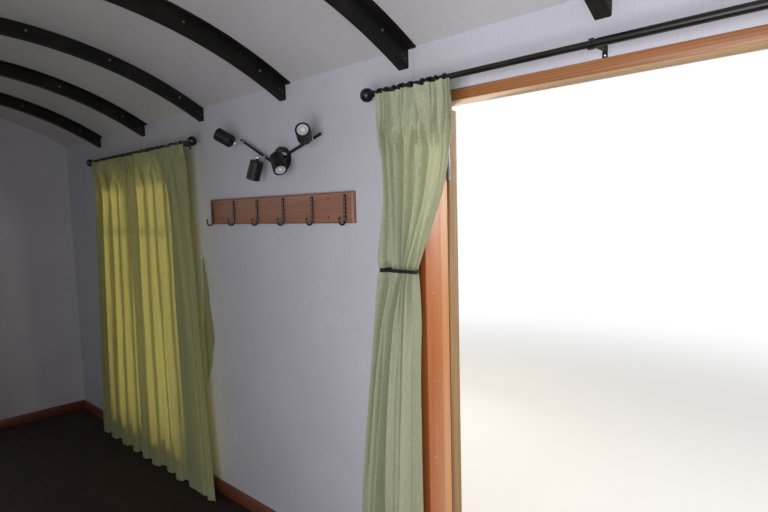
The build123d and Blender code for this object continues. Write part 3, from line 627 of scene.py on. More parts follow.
@dataclass(frozen=True)
class StudioGround(Finish):
    """A plain pale ground that the camera sees nearly white, with the object's shadow kept."""

    colour: str
    veil: float = 0.5
    middle: Point = (2.7, 0.3, 0.0)
    near: float = 2.4
    far: float = 7.0
    roughness: float = 0.9

    def dress(self, tree: bpy.types.NodeTree, shader: bpy.types.Node) -> None:
        """Sets a plain matt surface."""
        shader.inputs["Base Color"].default_value = linear(self.colour)
        shader.inputs["Roughness"].default_value = self.roughness

    def surface(self, tree: bpy.types.NodeTree, shader: bpy.types.Node) -> bpy.types.NodeSocket:
        """Adds plain white for the camera alone, more of it away from the object."""
        path = add(tree, "LightPath").outputs
        place = add(tree, "TexCoord").outputs["Object"]
        distance = add(
            tree, "VectorMath", {0: place, 1: self.middle}, operation="DISTANCE"
        ).outputs["Value"]
        haze = add(
            tree,
            "MapRange",
            {0: distance, 1: self.near, 2: self.far, 3: self.veil, 4: 1.0},
            interpolation_type="SMOOTHSTEP",
        ).outputs[0]
        share = add(tree, "Math", {0: path["Is Camera Ray"], 1: haze}, operation="MULTIPLY").outputs[0]
        white = add(tree, "Emission", {"Color": linear(WHITE), "Strength": 1.0}).outputs[0]
        return add(tree, "MixShader", {0: share, 1: shader.outputs[0], 2: white}).outputs[0]


# White emulsion on embossed paper: matt, with short upright flecks. Its lavender-grey colour is painted dim,
# bluish daylight.
WALL_PAINT = TexturedPaint("painted_wall_lining", "#c9c9d2", "#c1c0c8", 0.0075, 0.034, 0.0012)
# The same white on smooth board: warmer, with next to no relief.
CEILING_PAINT = TexturedPaint("painted_ceiling_board", "#c9c8ca", "#c0bebf", 0.02, 0.02, 0.0003, 0.58)
# Satin black paint on rolled steel: near black, broad dull highlights.
HOOP_PAINT = Enamel("satin_black_hoop_paint", "#121110", 0.5, peel=0.0002, peel_size=0.006, specular=0.25)
# Gloss black powder coat on tube: sharp small highlights.
POLE_COAT = Enamel("gloss_black_pole_coat", "#0b0b0b", 0.3, specular=0.4)
# Satin black powder coat on pressed lamp cans: soft highlights.
LAMP_COAT = Enamel("satin_black_lamp_coat", "#0e0e10", 0.45, specular=0.3)
# Black japanned forged iron: broken highlights on the twists.
HOOK_IRON = Enamel("japanned_black_iron", "#0e0e0f", 0.22, peel=0.0009, peel_size=0.01, coat=0.15)
# Bright nickel plate on the lamp's stems: mirror-like.
BRIGHT_PLATE = BareMetal("bright_nickel_plate", "#e2e2e4", "#c6c7ca", 0.3)
# Zinc-plated hinge steel: pale, dull grey sheen.
HINGE_ZINC = BareMetal("zinc_plated_hinge_steel", "#94979c", "#6c6e73", 0.42)
# Passivated bolt heads gone dull: grey with a trace of yellow.
BOLT_STEEL = BareMetal("dull_passivated_bolt", "#948b74", "#625b4c", 0.5)
# Stained and oiled fir of the jambs and posts: orange towards the room, pale tan outwards, straight grain,
# with painted shade darkening the room-side face.
FIR_UPRIGHT = Timber(
    "oiled_fir_upright", Grain.Z, "#e79c5e", "#b9642f", ring=0.006, knot_pitch=0.9, knot_size=0.016,
    roughness=0.42, coat=0.2, weathered="#e8c890", fade=(0.085, 0.095), front_shade="#d6b8a8",
)
# The same fir laid level in heads, sills and bars: browner. Painted daylight from outdoors makes all but its
# room-side edge pale, and painted shade darkens its room-side face.
FIR_LEVEL = Timber(
    "oiled_fir_level", Grain.X, "#d3945c", "#a4673a", ring=0.0085, knot_pitch=0.7, knot_size=0.02,
    roughness=0.42, coat=0.2, weathered="#eedfb4", fade=(0.003, 0.012), front_shade="#d2cac4",
)
# Untreated pine of the door leaves, greyed to tan outdoors, with round knots.
PINE_LEAF = Timber(
    "weathered_pine_leaf", Grain.Z, "#bd9c70", "#8c6a42", ring=0.012, knot_pitch=0.24, knot_size=0.024,
    roughness=0.66,
)
# Planed hardwood coat rail: pinkish brown, fine straight grain.
RAIL_WOOD = Timber(
    "planed_coat_rail_wood", Grain.X, "#a07159", "#7c5242", ring=0.006, knot_pitch=1.6, knot_size=0.01,
    roughness=0.5, relief=0.00015,
)
# Red-brown varnished skirting.
SKIRTING_WOOD = Timber(
    "varnished_skirting_board", Grain.X, "#7c4731", "#542b1d", ring=0.007, knot_pitch=1.5, knot_size=0.01,
    roughness=0.45, coat=0.2,
)
# Dark stained floor boards: brown-black, satin from sealing.
FLOOR_WOOD = Timber(
    "dark_stained_floor_boards", Grain.X, "#2c1f18", "#19110c", ring=0.012, knot_pitch=0.8, knot_size=0.016,
    roughness=0.7, specular=0.2,
)
# Rough-sawn carcassing timber: pale, open grain.
SAWN_TIMBER = Timber(
    "sawn_carcassing_timber", Grain.X, "#c4a577", "#9c7c51", ring=0.016, knot_pitch=0.5, knot_size=0.03,
    roughness=0.78, relief=0.0009,
)
# The same timber laid across the cabin as joists.
SAWN_JOIST = replace(SAWN_TIMBER, name="sawn_joist_timber", grain=Grain.Y)
# Planed studs and panels inside the walls: pale, a little smoother.
STUD_PANEL = Timber(
    "stud_panel_timber", Grain.Z, "#cdb48a", "#ab8d62", ring=0.014, knot_pitch=0.45, knot_size=0.026,
    roughness=0.75, relief=0.0007,
)
# Redwood matchboarding with brown stain outside.
MATCHBOARD = Timber(
    "stained_matchboarding", Grain.Z, "#a5764b", "#7a5031", ring=0.011, knot_pitch=0.5, knot_size=0.024,
    roughness=0.6, coat=0.1, relief=0.0005,
)
# The corner board, stained a shade darker than the boarding.
CORNER_WOOD = Timber(
    "stained_corner_board", Grain.Z, "#8f6440", "#69442a", ring=0.011, knot_pitch=0.6, knot_size=0.02,
    roughness=0.6, coat=0.1,
)
# Sawn boards under the roof sheet: pale and open grained.
ROOF_BOARDS = Timber(
    "sawn_roof_boards", Grain.X, "#c9ac7e", "#a28255", ring=0.013, knot_pitch=0.5, knot_size=0.026,
    roughness=0.76, relief=0.0008,
)
# Painted steel roof sheet: mid grey, slightly chalky.
ROOF_SHEET = Enamel("painted_steel_roof_sheet", "#6b7072", 0.5, peel=0.0003, peel_size=0.012)
# Sage slub cloth of the door curtains, seen in daylight from the room: greyed green.
DOOR_CLOTH = SlubCloth("sage_slub_door_cloth", "#cbd0b4", "#a4ac8c", "#bdbd86", through=0.34)
# The same cloth over the window as a lit copy: the low sun shining through it is painted into its darker,
# yellow-green colours.
WINDOW_CLOTH = SlubCloth("sage_slub_window_cloth", "#b6bc93", "#989f78", "#c6be64", through=0.42, fall=1.9)
# The same cloth doubled for the loose strap: closed to daylight, and darker as painted shade.
STRAP_CLOTH = SlubCloth(
    "sage_slub_strap_cloth", "#9a9a70", "#84855c", "#7d7a3c", through=0.1, fall=9.0, hem=0.0
)
# Clear float glass: see-through, with faint reflections.
PANE = PaneGlass("float_glass_pane")
# Moulded acrylic lens: milky blue-grey, ringed.
LENS = LampLens("milky_lamp_lens", "#cfd6dc", "#98a2ae", ring=0.0078)
# Phosphor patch of the unlit lamp: pale orange.
PHOSPHOR = LampLens("lamp_phosphor_patch", "#ffe9d6", "#f6ceac", ring=0.0044)
# Black bound cord of the tieback bands: dull.
BOUND_CORD = Enamel("black_bound_cord", "#131212", 0.6, specular=0.25)
# Pale matt board under the object: nearly white to the camera.
GROUND = StudioGround("pale_studio_ground", "#d9d8d4")


@dataclass
class Model:
    """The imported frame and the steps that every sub-assembly shares."""

    nodes: dict[str, bpy.types.Object]

    def dress(self, finish: Finish, *names: str) -> None:
        """Gives CAD nodes a finish.

        Args:
            finish: The finish that shows.
            *names: The nodes' names.
        """
        for name in names:
            mesh = self.nodes[name].data
            mesh.materials.clear()
            mesh.materials.append(finish.material())
            LOG.info("%s wears %s", name, finish.name)

    def place(
        self,
        name: str,
        shape: bmesh.types.BMesh,
        finishes: Sequence[Finish],
        body: str = "cabin",
        stands_for: Sequence[str] = (),
        slot: str = "",
        crease: float = 35.0,
    ) -> bpy.types.Object:
        """Turns a shape into a piece of the model.

        Args:
            name: The piece's name.
            shape: Its geometry in metres, freed afterwards.
            finishes: The finishes of its material indexes.
            body: The CAD body that it rides on.
            stands_for: The CAD nodes that it replaces.
            slot: The record's material slot; not used.
            crease: The angle in degrees past which an edge stays sharp.

        Returns:
            The new object.
        """
        for face in shape.faces:
            face.smooth = True
        for edge in shape.edges:
            edge.smooth = not edge.is_manifold or edge.calc_face_angle(0.0) < math.radians(crease)
        mesh = bpy.data.meshes.new(name)
        shape.to_mesh(mesh)
        shape.free()
        for finish in finishes:
            mesh.materials.append(finish.material())
        piece = bpy.data.objects.new(name, mesh)
        bpy.context.scene.collection.objects.link(piece)
        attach(piece, body)
        if stands_for:
            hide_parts(*stands_for)
        LOG.info("%s rides on %s", name, body)
        return piece

    def eased(
        self, name: str, node: str, finish: Finish, slot: str, ease: float, body: str = "cabin"
    ) -> None:
        """Replaces a CAD node by the same shape with its arrises taken off.

        Args:
            name: The piece's name.
            node: The CAD node.
            finish: The finish that shows.
            slot: The record's material slot.
            ease: The width of the rounded arris.
            body: The CAD body that it rides on.
        """
        shape = bmesh.new()
        shape.from_mesh(self.nodes[node].data)
        bmesh.ops.remove_doubles(shape, verts=shape.verts, dist=WELD)
        bmesh.ops.dissolve_limit(
            shape, angle_limit=FLAT_ANGLE, verts=shape.verts, edges=shape.edges,
            use_dissolve_boundaries=False,
        )
        bmesh.ops.recalc_face_normals(shape, faces=shape.faces)
        sharp = [e for e in shape.edges if e.is_manifold and e.calc_face_angle(0.0) > ARRIS_ANGLE]
        ease_edges(shape, sharp, ease, segments=2)
        label_boards(shape, random.Random(node))
        self.place(name, shape, [finish], body, [node], slot)


def label_boards(shape: bmesh.types.BMesh, tones: random.Random) -> None:
    """Gives each loose part of a shape its own shade of timber.

    Args:
        shape: The boards.
        tones: The source of the shades.
    """
    layer = shape.verts.layers.float.get("tone") or shape.verts.layers.float.new("tone")
    seen: set[bmesh.types.BMVert] = set()
    for start in shape.verts:
        if start in seen:
            continue
        tone = tones.random()
        front = [start]
        seen.add(start)
        while front:
            vert = front.pop()
            vert[layer] = tone
            for edge in vert.link_edges:
                other = edge.other_vert(vert)
                if other not in seen:
                    seen.add(other)
                    front.append(other)


def ease_edges(
    shape: bmesh.types.BMesh, edges: list[bmesh.types.BMEdge], width: float, segments: int
) -> None:
    """Rounds edges over.

    Args:
        shape: The bmesh that they belong to.
        edges: The edges.
        width: The width of the rounding.
        segments: The number of steps in the rounding.
    """
    bmesh.ops.bevel(
        shape, geom=edges, offset=width, offset_type="OFFSET", segments=segments, profile=0.5,
        affect="EDGES", material=-1, clamp_overlap=True,
    )


def spin_round(shape: bmesh.types.BMesh, geom: list[Any], steps: int) -> None:
    """Spins geometry a full turn about Z and joins its ends.

    Args:
        shape: The bmesh that it belongs to.
        geom: The vertices and edges.
        steps: The number of steps round.
    """
    bmesh.ops.spin(
        shape, geom=geom, cent=(0, 0, 0), axis=(0, 0, 1), angle=2 * math.pi, steps=steps, use_merge=True
    )


def add_block(
    shape: bmesh.types.BMesh, low: Sequence[float], high: Sequence[float], ease: float, segments: int = 1
) -> None:
    """Adds a box between two corners.

    Args:
        shape: The bmesh that it is added to.
        low: Its lowest corner.
        high: Its highest corner.
        ease: The width of its eased arrises.
        segments: The number of steps in the easing.
    """
    centre = (Vector(low) + Vector(high)) / 2
    size = Vector(high) - Vector(low)
    matrix = Matrix.Translation(centre) @ Matrix.Diagonal((*size, 1.0))
    verts = bmesh.ops.create_cube(shape, size=1.0, matrix=matrix)["verts"]
    ease_edges(shape, list({e for v in verts for e in v.link_edges}), ease, segments)


def add_turned(
    shape: bmesh.types.BMesh, profile: Outline, matrix: Matrix, steps: int
) -> list[bmesh.types.BMFace]:
    """Adds a turned form.

    Args:
        shape: The bmesh that it is added to.
        profile: Radius and height of each point along the outline, from one pole to the other.
        matrix: Where its axis, +Z, goes.
        steps: The number of steps round.

    Returns:
        Its faces.
    """
    verts = [shape.verts.new((r, 0.0, h)) for r, h in profile]
    edges = [shape.edges.new(pair) for pair in zip(verts, verts[1:])]
    before = set(shape.faces)
    spin_round(shape, verts + edges, steps)
    faces = [f for f in shape.faces if f not in before]
    touched = list({v for f in faces for v in f.verts})
    bmesh.ops.remove_doubles(shape, verts=touched, dist=FINE_WELD)
    faces = [f for f in shape.faces if f not in before]
    bmesh.ops.recalc_face_normals(shape, faces=faces)
    touched = list({v for f in faces for v in f.verts})
    bmesh.ops.transform(shape, matrix=matrix, verts=touched)
    return faces


def facing(origin: Sequence[float], way: Sequence[float]) -> Matrix:
    """A frame whose +Z points along a direction.

    Args:
        origin: Its origin.
        way: The direction.

    Returns:
        The matrix.
    """
    return Matrix.Translation(Vector(origin)) @ Vector(way).to_track_quat("Z", "Y").to_matrix().to_4x4()


def smoothstep(low: float, high: float, value: float) -> float:
    """Eases from 0 to 1 as a value goes from low to high."""
    share = min(1.0, max(0.0, (value - low) / (high - low)))
    return share * share * (3 - 2 * share)


def follow(stops: Sequence[float], values: Sequence[Sequence[float]], at: float) -> list[float]:
    """Reads values that run smoothly through stops.

    Args:
        stops: The positions of the values, from high to low.
        values: The values at each stop.
        at: The position to read at.

    Returns:
        The values there.
    """
    last = len(stops) - 1
    index = next((i for i in range(last) if at >= stops[i + 1]), last - 1)
    ends = stops[index], stops[index + 1]
    step = ends[1] - ends[0]
    t = min(1.0, max(0.0, (at - ends[0]) / step))
    before, after = max(0, index - 1), min(last, index + 2)
    read = []
    for a, b, past, coming in zip(values[index], values[index + 1], values[before], values[after]):
        leave = (b - past) / (ends[1] - stops[before]) * step
        arrive = (coming - a) / (stops[after] - ends[0]) * step
        curve = (2 * t**3 - 3 * t**2 + 1) * a + (t**3 - 2 * t**2 + t) * leave
        read.append(curve + (3 * t**2 - 2 * t**3) * b + (t**3 - t**2) * arrive)
    return read


def arc_level(radius: float, y: float) -> float:
    """Height of a roof arc over a line of the given Y."""
    return ARC_CENTRE_Z + math.sqrt(radius**2 - (y - CROWN_Y) ** 2)


@dataclass
class FloorDeck:
    """Floor boards, joists and bearers."""

    board: float = 0.132
    thick: float = 0.025
    groove: float = 0.0022
    joint_gap: float = 0.0006
    end_lap: tuple[float, ...] = (1.9, 3.1, 0.9, 2.5, 4.2, 1.4)
    run: float = 2.4
    least: float = 0.3
    joist_ease: float = 0.003
    bearer_ease: float = 0.004
    seed: int = 11

    def build(self, model: Model) -> None:
        """Lays the boards and eases the timbers under them."""
        shape = bmesh.new()
        half = self.joint_gap / 2
        count = math.ceil((WALL_OUTSIDE - CROWN_Y) / self.board)
        for row in range(count):
            near = max(CROWN_Y, WALL_OUTSIDE - (row + 1) * self.board)
            far = WALL_OUTSIDE - row * self.board
            first = self.end_lap[row % len(self.end_lap)]
            stops = [END_OUTSIDE, first, min(first + self.run, LENGTH - self.least), LENGTH]
            for start, end in zip(stops, stops[1:]):
                add_block(
                    shape,
                    (start + half, near + half, FLOOR - self.thick),
                    (end - half, far - half, FLOOR),
                    self.groove,
                )
        label_boards(shape, random.Random(self.seed))
        model.place(
            "floor_planks", shape, [FLOOR_WOOD], stands_for=["floor_boards"], slot="dark_floor_boards"
        )
        model.eased("joist_timbers", "floor_joists", SAWN_JOIST, "rough_timber", self.joist_ease)
        for node in ("outer_bearer", "centre_bearer"):
            model.eased(f"{node}_timber", node, SAWN_TIMBER, "rough_timber", self.bearer_ease)


@dataclass
class Boarding:
    """Upright matchboards with V joints on the outside of both walls."""

    board: float = 0.145
    inner: float = 0.107
    thick: float = 0.043
    joint: float = 0.004
    gap: float = 0.0008
    cantrail_top: float = 2.36
    end_height: float = 2.5
    roof_gap: float = 0.0006
    frame: float = 0.036
    corner_ease: float = 0.003
    side_seed: int = 21
    end_seed: int = 22

    def build(self, model: Model) -> None:
        """Boards the side wall round its openings, then the end wall."""
        self.board_side(model)
        self.board_end(model)
        model.eased("corner_board_timber", "corner_board", CORNER_WOOD, "outer_boarding", self.corner_ease)

    def board_side(self, model: Model) -> None:
        """Boards the side wall, leaving its window and doorway open."""
        side = bmesh.new()
        full = (FLOOR, self.cantrail_top)
        over = (HEAD_LEVEL + self.frame, self.cantrail_top)
        under = (FLOOR, WINDOW_SILL - self.frame)
        stops = (
            (END_OUTSIDE + self.thick, WINDOW_LEFT - self.frame, [full]),
            (WINDOW_LEFT - self.frame, WINDOW_RIGHT + self.frame, [under, over]),
            (WINDOW_RIGHT + self.frame, DOOR_LEFT - self.frame, [full]),
            (DOOR_LEFT - self.frame, DOOR_RIGHT + self.frame, [over]),
            (DOOR_RIGHT + self.frame, LENGTH, [full]),
        )
        for left, right, levels in stops:
            count = max(1, round((right - left) / self.board))
            wide = (right - left) / count
            for index in range(count):
                for low, high in levels:
                    add_block(
                        side,
                        (left + index * wide + self.gap / 2, self.inner, low),
                        (left + (index + 1) * wide - self.gap / 2, WALL_OUTSIDE, high),
                        self.joint,
                    )
        self.trim(side, self.inner, WALL_OUTSIDE)
        label_boards(side, random.Random(self.side_seed))
        model.place(
            "side_matchboards", side, [MATCHBOARD], stands_for=["side_wall_boarding"], slot="outer_boarding"
        )

    def board_end(self, model: Model) -> None:
        """Boards the end wall, each board cut to the roof line."""
        end = bmesh.new()
        count = round((WALL_OUTSIDE - CROWN_Y) / self.board)
        wide = (WALL_OUTSIDE - CROWN_Y) / count
        for index in range(count):
            near = CROWN_Y + index * wide
            board = bmesh.new()
            add_block(
                board,
                (END_OUTSIDE, near + self.gap / 2, FLOOR),
                (END_OUTSIDE + self.thick, near + wide - self.gap / 2, FLOOR + self.end_height),
                self.joint,
            )
            self.trim(board, near, near + wide)
            piece = bpy.data.meshes.new("end_board")
            board.to_mesh(piece)
            board.free()
            end.from_mesh(piece)
            bpy.data.meshes.remove(piece)
        label_boards(end, random.Random(self.end_seed))
        model.place(
            "end_matchboards", end, [MATCHBOARD], stands_for=["end_wall_boarding"], slot="outer_boarding"
        )

    def trim(self, shape: bmesh.types.BMesh, near: float, far: float) -> None:
        """Cuts the boards' tops to the roof line between two lines of Y.

        Args:
            shape: The boards.
            near: The Y of the cut's room side.
            far: The Y of its outer side.
        """
        start, stop = (Vector((0, y, arc_level(ROOF_INSIDE_RADIUS - self.roof_gap, y))) for y in (near, far))
        slope = stop - start
        cut = bmesh.ops.bisect_plane(
            shape, geom=[*shape.verts, *shape.edges, *shape.faces], dist=FINE_WELD, plane_co=start,
            plane_no=(0, -slope.z, slope.y), clear_outer=True,
        )
        edges = [e for e in cut["geom_cut"] if isinstance(e, bmesh.types.BMEdge)]
        bmesh.ops.holes_fill(shape, edges=edges, sides=0)
        bmesh.ops.recalc_face_normals(shape, faces=shape.faces)


@dataclass
class Hoops:
    """Steel hoops under the roof, with the bolts and foot rivets through their webs."""

    count: int = 8
    pitch: float = 0.7
    web: float = 0.0025
    bolt: Outline = (
        (0.0, 0.0035), (0.0033, 0.0035), (0.00506, 0.0021), (0.0055, 0.0), (0.0055, -0.0008), (0.0, -0.0008),
    )
    bolt_steps: int = 12
    mid_radius: float = 2.088
    places: tuple[float, ...] = (-0.132, -0.474, -0.82)
    rivets: tuple[Pair, ...] = ((-0.032, 2.073), (-0.019, 2.061))
    rivet_share: float = 0.5
    rivet_steps: int = 10

    def build(self, model: Model) -> None:
        """Dresses the hoops, and sets bolts and foot rivets through their webs."""
        model.dress(HOOP_PAINT, *(f"hoop_{n}" for n in range(1, self.count + 1)))
        shape = bmesh.new()
        small = Matrix.Scale(self.rivet_share, 4)
        for number in range(1, self.count + 1):
            for y in self.places:
                z = arc_level(self.mid_radius, y)
                for sign in (-1, 1):
                    origin = (number * self.pitch + sign * self.web, y, z)
                    add_turned(shape, self.bolt, facing(origin, (sign, 0, 0)), self.bolt_steps)
            for y, level in self.rivets:
                for sign in (-1, 1):
                    origin = (number * self.pitch + sign * self.web, y, FLOOR + level)
                    add_turned(shape, self.bolt, facing(origin, (sign, 0, 0)) @ small, self.rivet_steps)
        model.place("hoop_bolts", shape, [BOLT_STEEL], slot="hinge_steel")


@dataclass
class Lining:
    """Wall and ceiling linings, the cores behind them and the roof over them."""

    cantrail_ease: float = 0.002
    skirting_ease: float = 0.0025

    def build(self, model: Model) -> None:
        """Dresses the flat work of walls and roof."""
        model.dress(WALL_PAINT, "side_wall_lining", "end_wall_lining")
        model.dress(CEILING_PAINT, "ceiling_lining")
        model.dress(STUD_PANEL, "side_wall_core", "end_wall_core")
        model.dress(ROOF_BOARDS, "roof_core")
        model.dress(ROOF_SHEET, "roof_skin")
        model.eased("cantrail_timber", "cantrail", SAWN_TIMBER, "rough_timber", self.cantrail_ease)
        model.eased("skirting_boards", "skirting", SKIRTING_WOOD, "skirting_timber", self.skirting_ease)


@dataclass
class Doorway:
    """Jambs, head, sill, leaves and their hinges."""

    ease: float = 0.0022
    nail: Outline = ((0.0, 0.0006), (0.0028, 0.0004), (0.0028, -0.0005), (0.0, -0.0005))
    nail_steps: int = 10
    nail_levels: tuple[float, ...] = (1.76, 1.233, 0.909, 0.62, 0.16)
    nail_y: float = 0.039
    screw: Outline = ((0.0, 0.0011), (0.0022, 0.0009), (0.0036, 0.0), (0.0036, -0.0005), (0.0, -0.0005))
    screw_steps: int = 12
    hinge_line: float = DOOR_LEFT - 0.0095
    hinge_face: float = WALL_OUTSIDE + 0.0018
    hinge_centres: tuple[float, ...] = (0.2, 1.707)
    hinge_screws: tuple[Pair, ...] = ((-0.017, -0.052), (-0.013, -0.018), (-0.013, 0.018), (-0.017, 0.052))

    def build(self, model: Model) -> None:
        """Eases the timbers, then adds nail heads and hinge screws."""
        for side in Side:
            model.eased(
                f"{side.word}_jamb_timber", f"door_jamb_{side.word}", FIR_UPRIGHT, "stained_pine", self.ease
            )
        for node in ("door_head", "door_sill"):
            model.eased(f"{node}_timber", node, FIR_LEVEL, "stained_pine", self.ease)
        for side in Side:
            leaf = f"{side.word}_leaf"
            model.eased(
                f"{leaf}_timber", f"door_leaf_{side.word}", PINE_LEAF, "weathered_pine", self.ease, leaf
            )
            model.dress(HINGE_ZINC, f"hinge_butts_{side.word}", f"hinge_flaps_{side.word}")
        self.drive_nails(model)
        self.drive_screws(model)

    def drive_nails(self, model: Model) -> None:
        """Sets the nail heads that hold both jambs."""
        shape = bmesh.new()
        for x, sign in ((DOOR_LEFT, 1), (DOOR_RIGHT, -1)):
            for level in self.nail_levels:
                head = facing((x, self.nail_y, FLOOR + level), (sign, 0, 0))
                add_turned(shape, self.nail, head, self.nail_steps)
        model.place("jamb_nail_heads", shape, [BRIGHT_PLATE], slot="hinge_steel")

    def drive_screws(self, model: Model) -> None:
        """Sets four screws in each hinge plate that is fixed to the frame."""
        shape = bmesh.new()
        for side in Side:
            line = side.mirror(self.hinge_line)
            for centre in self.hinge_centres:
                for across, up in self.hinge_screws:
                    place = (line + side.value * across, self.hinge_face, FLOOR + centre + up)
                    add_turned(shape, self.screw, facing(place, (0, 1, 0)), self.screw_steps)
        model.place("hinge_screws", shape, [HINGE_ZINC], slot="hinge_steel")


@dataclass
class Window:
    """Frame, sashes, glazing bars and panes."""

    ease: float = 0.002
    bar: float = 0.022
    bar_ease: float = 0.003
    bar_level: float = 1.57
    bar_seed: int = 31
    sash_member: float = 0.06
    sash_y: Pair = (0.084, 0.111)

    def build(self, model: Model) -> None:
        """Eases the frame and sets a glazing bar across each sash."""
        model.eased("window_post_timbers", "window_posts", FIR_UPRIGHT, "stained_pine", self.ease)
        model.eased("window_rail_timbers", "window_rails", FIR_LEVEL, "stained_pine", self.ease)
        model.eased("sash_timbers", "window_sashes", PINE_LEAF, "stained_pine", self.ease)
        model.dress(PANE, "window_glass")
        shape = bmesh.new()
        z = FLOOR + self.bar_level
        for left, right in ((WINDOW_LEFT, WINDOW_CENTRE), (WINDOW_CENTRE, WINDOW_RIGHT)):
            add_block(
                shape,
                (left + self.sash_member, self.sash_y[0], z - self.bar / 2),
                (right - self.sash_member, self.sash_y[1], z + self.bar / 2),
                self.bar_ease,
            )
        label_boards(shape, random.Random(self.bar_seed))
        model.place("glazing_bars", shape, [FIR_LEVEL], slot="stained_pine")


@dataclass
class CoatRail:
    """Board with six twisted hooks and three pairs of screws."""

    ease: float = 0.0012
    face_y: float = -0.02
    screw_x: tuple[float, ...] = (2.275, 2.677, 3.077)
    screw_levels: tuple[float, ...] = (1.591, 1.514)
    screw: Outline = (
        (0.0, 0.0006), (0.00126, 0.0006), (0.001428, 0.0016), (0.00336, 0.0012), (0.0042, 0.0003),
        (0.0042, -0.0006), (0.0, -0.0006),
    )
    screw_steps: int = 16

    def build(self, model: Model) -> None:
        """Dresses the rail and its hooks, then adds the screw heads."""
        model.eased("coat_rail_board", "coat_rail", RAIL_WOOD, "rail_timber", self.ease)
        model.dress(HOOK_IRON, "coat_hooks")
        shape = bmesh.new()
        for x in self.screw_x:
            for level in self.screw_levels:
                place = facing((x, self.face_y, FLOOR + level), (0, -1, 0))
                add_turned(shape, self.screw, place, self.screw_steps)
        model.place("rail_screws", shape, [HOOK_IRON], slot="black_metal")


@dataclass
class SpotLamp:
    """Bar of four spot heads, with their unlit lamp faces."""

    centre: Point = (2.77, 0.0, FLOOR + 1.777)
    balls: tuple[Point, ...] = (
        (-0.27, -0.077, 0.091), (-0.061, -0.097, 0.007), (0.056, -0.088, 0.015), (0.237, -0.07, 0.054),
    )
    ways: tuple[Point, ...] = (
        (-0.768, -0.463, 0.523), (-0.388, -0.055, -0.935), (0.625, -0.241, -0.768), (0.663, -0.676, 0.283),
    )
    feet: tuple[Point, ...] = (
        (-0.266, -0.028, 0.1), (-0.1, -0.028, 0.015), (0.06, -0.028, 0.015), (0.24, -0.028, 0.064),
    )
    sleeve: float = 0.0058
    sleeve_start: float = 0.004
    sleeve_ease: float = 0.001
    sleeve_steps: int = 20
    ball_room: float = 0.019
    mouth: float = 0.0938
    face: Outline = (
        (0.0, 0.0022), (0.0035, 0.0022), (0.0062, 0.002), (0.0074, 0.003), (0.012, 0.0024),
        (0.0165, 0.0028), (0.0222, 0.004), (0.0234, 0.0052), (0.0252, 0.0054), (0.0265, 0.005),
        (0.0273, 0.0036), (0.0273, 0.0), (0.0, 0.0),
    )
    face_steps: int = 40
    patch_radius: float = 0.0068
    lens_radius: float = 0.023
    finishes: tuple[Finish, ...] = (LENS, PHOSPHOR, LAMP_COAT)

    def build(self, model: Model) -> None:
        """Dresses the lamp, sleeves its stems and sets a lens in each head."""
        model.dress(LAMP_COAT, "spot_bar", *(f"spot_head_{n}" for n in range(1, len(self.balls) + 1)))
        model.dress(BRIGHT_PLATE, "spot_stems")
        sleeves = bmesh.new()
        for foot, ball in zip(self.feet, self.balls):
            start, way = Vector(self.centre) + Vector(foot), Vector(ball) - Vector(foot)
            near, far = self.sleeve_start, way.length - self.ball_room
            r, ease = self.sleeve, self.sleeve_ease
            outline = ((0.0, near), (r, near), (r, far - ease), (r - ease, far), (0.0, far))
            add_turned(sleeves, outline, facing(start, way), self.sleeve_steps)
        model.place("stem_sleeves", sleeves, [BRIGHT_PLATE], slot="plated_stem")
        for number, (ball, way) in enumerate(zip(self.balls, self.ways), start=1):
            origin = Vector(self.centre) + Vector(ball)
            shape = self.lens(origin, Vector(way))
            model.place(f"spot_lens_{number}", shape, self.finishes, body=f"spot_{number}")

    def lens(self, origin: Vector, way: Vector) -> bmesh.types.BMesh:
        """Makes one lamp face: black rim, milky dished lens and the patch at its middle.

        Args:
            origin: The centre of the head's ball.
            way: The way the head shines.

        Returns:
            The lens's shape.
        """
        shape = bmesh.new()
        outline = tuple((r, self.mouth + h) for r, h in self.face)
        matrix = facing(origin, way.normalized())
        faces = add_turned(shape, outline, matrix, self.face_steps)
        inverse = matrix.inverted()
        layer = shape.loops.layers.uv.new("Lens")
        for face in faces:
            reach = (inverse @ face.calc_center_median()).xy.length
            finish = LAMP_COAT
            if reach < self.patch_radius:
                finish = PHOSPHOR
            elif reach < self.lens_radius:
                finish = LENS
            face.material_index = self.finishes.index(finish)
            for loop in face.loops:
                loop[layer].uv = ((inverse @ loop.vert.co).xy.length, 0.0)
        return shape


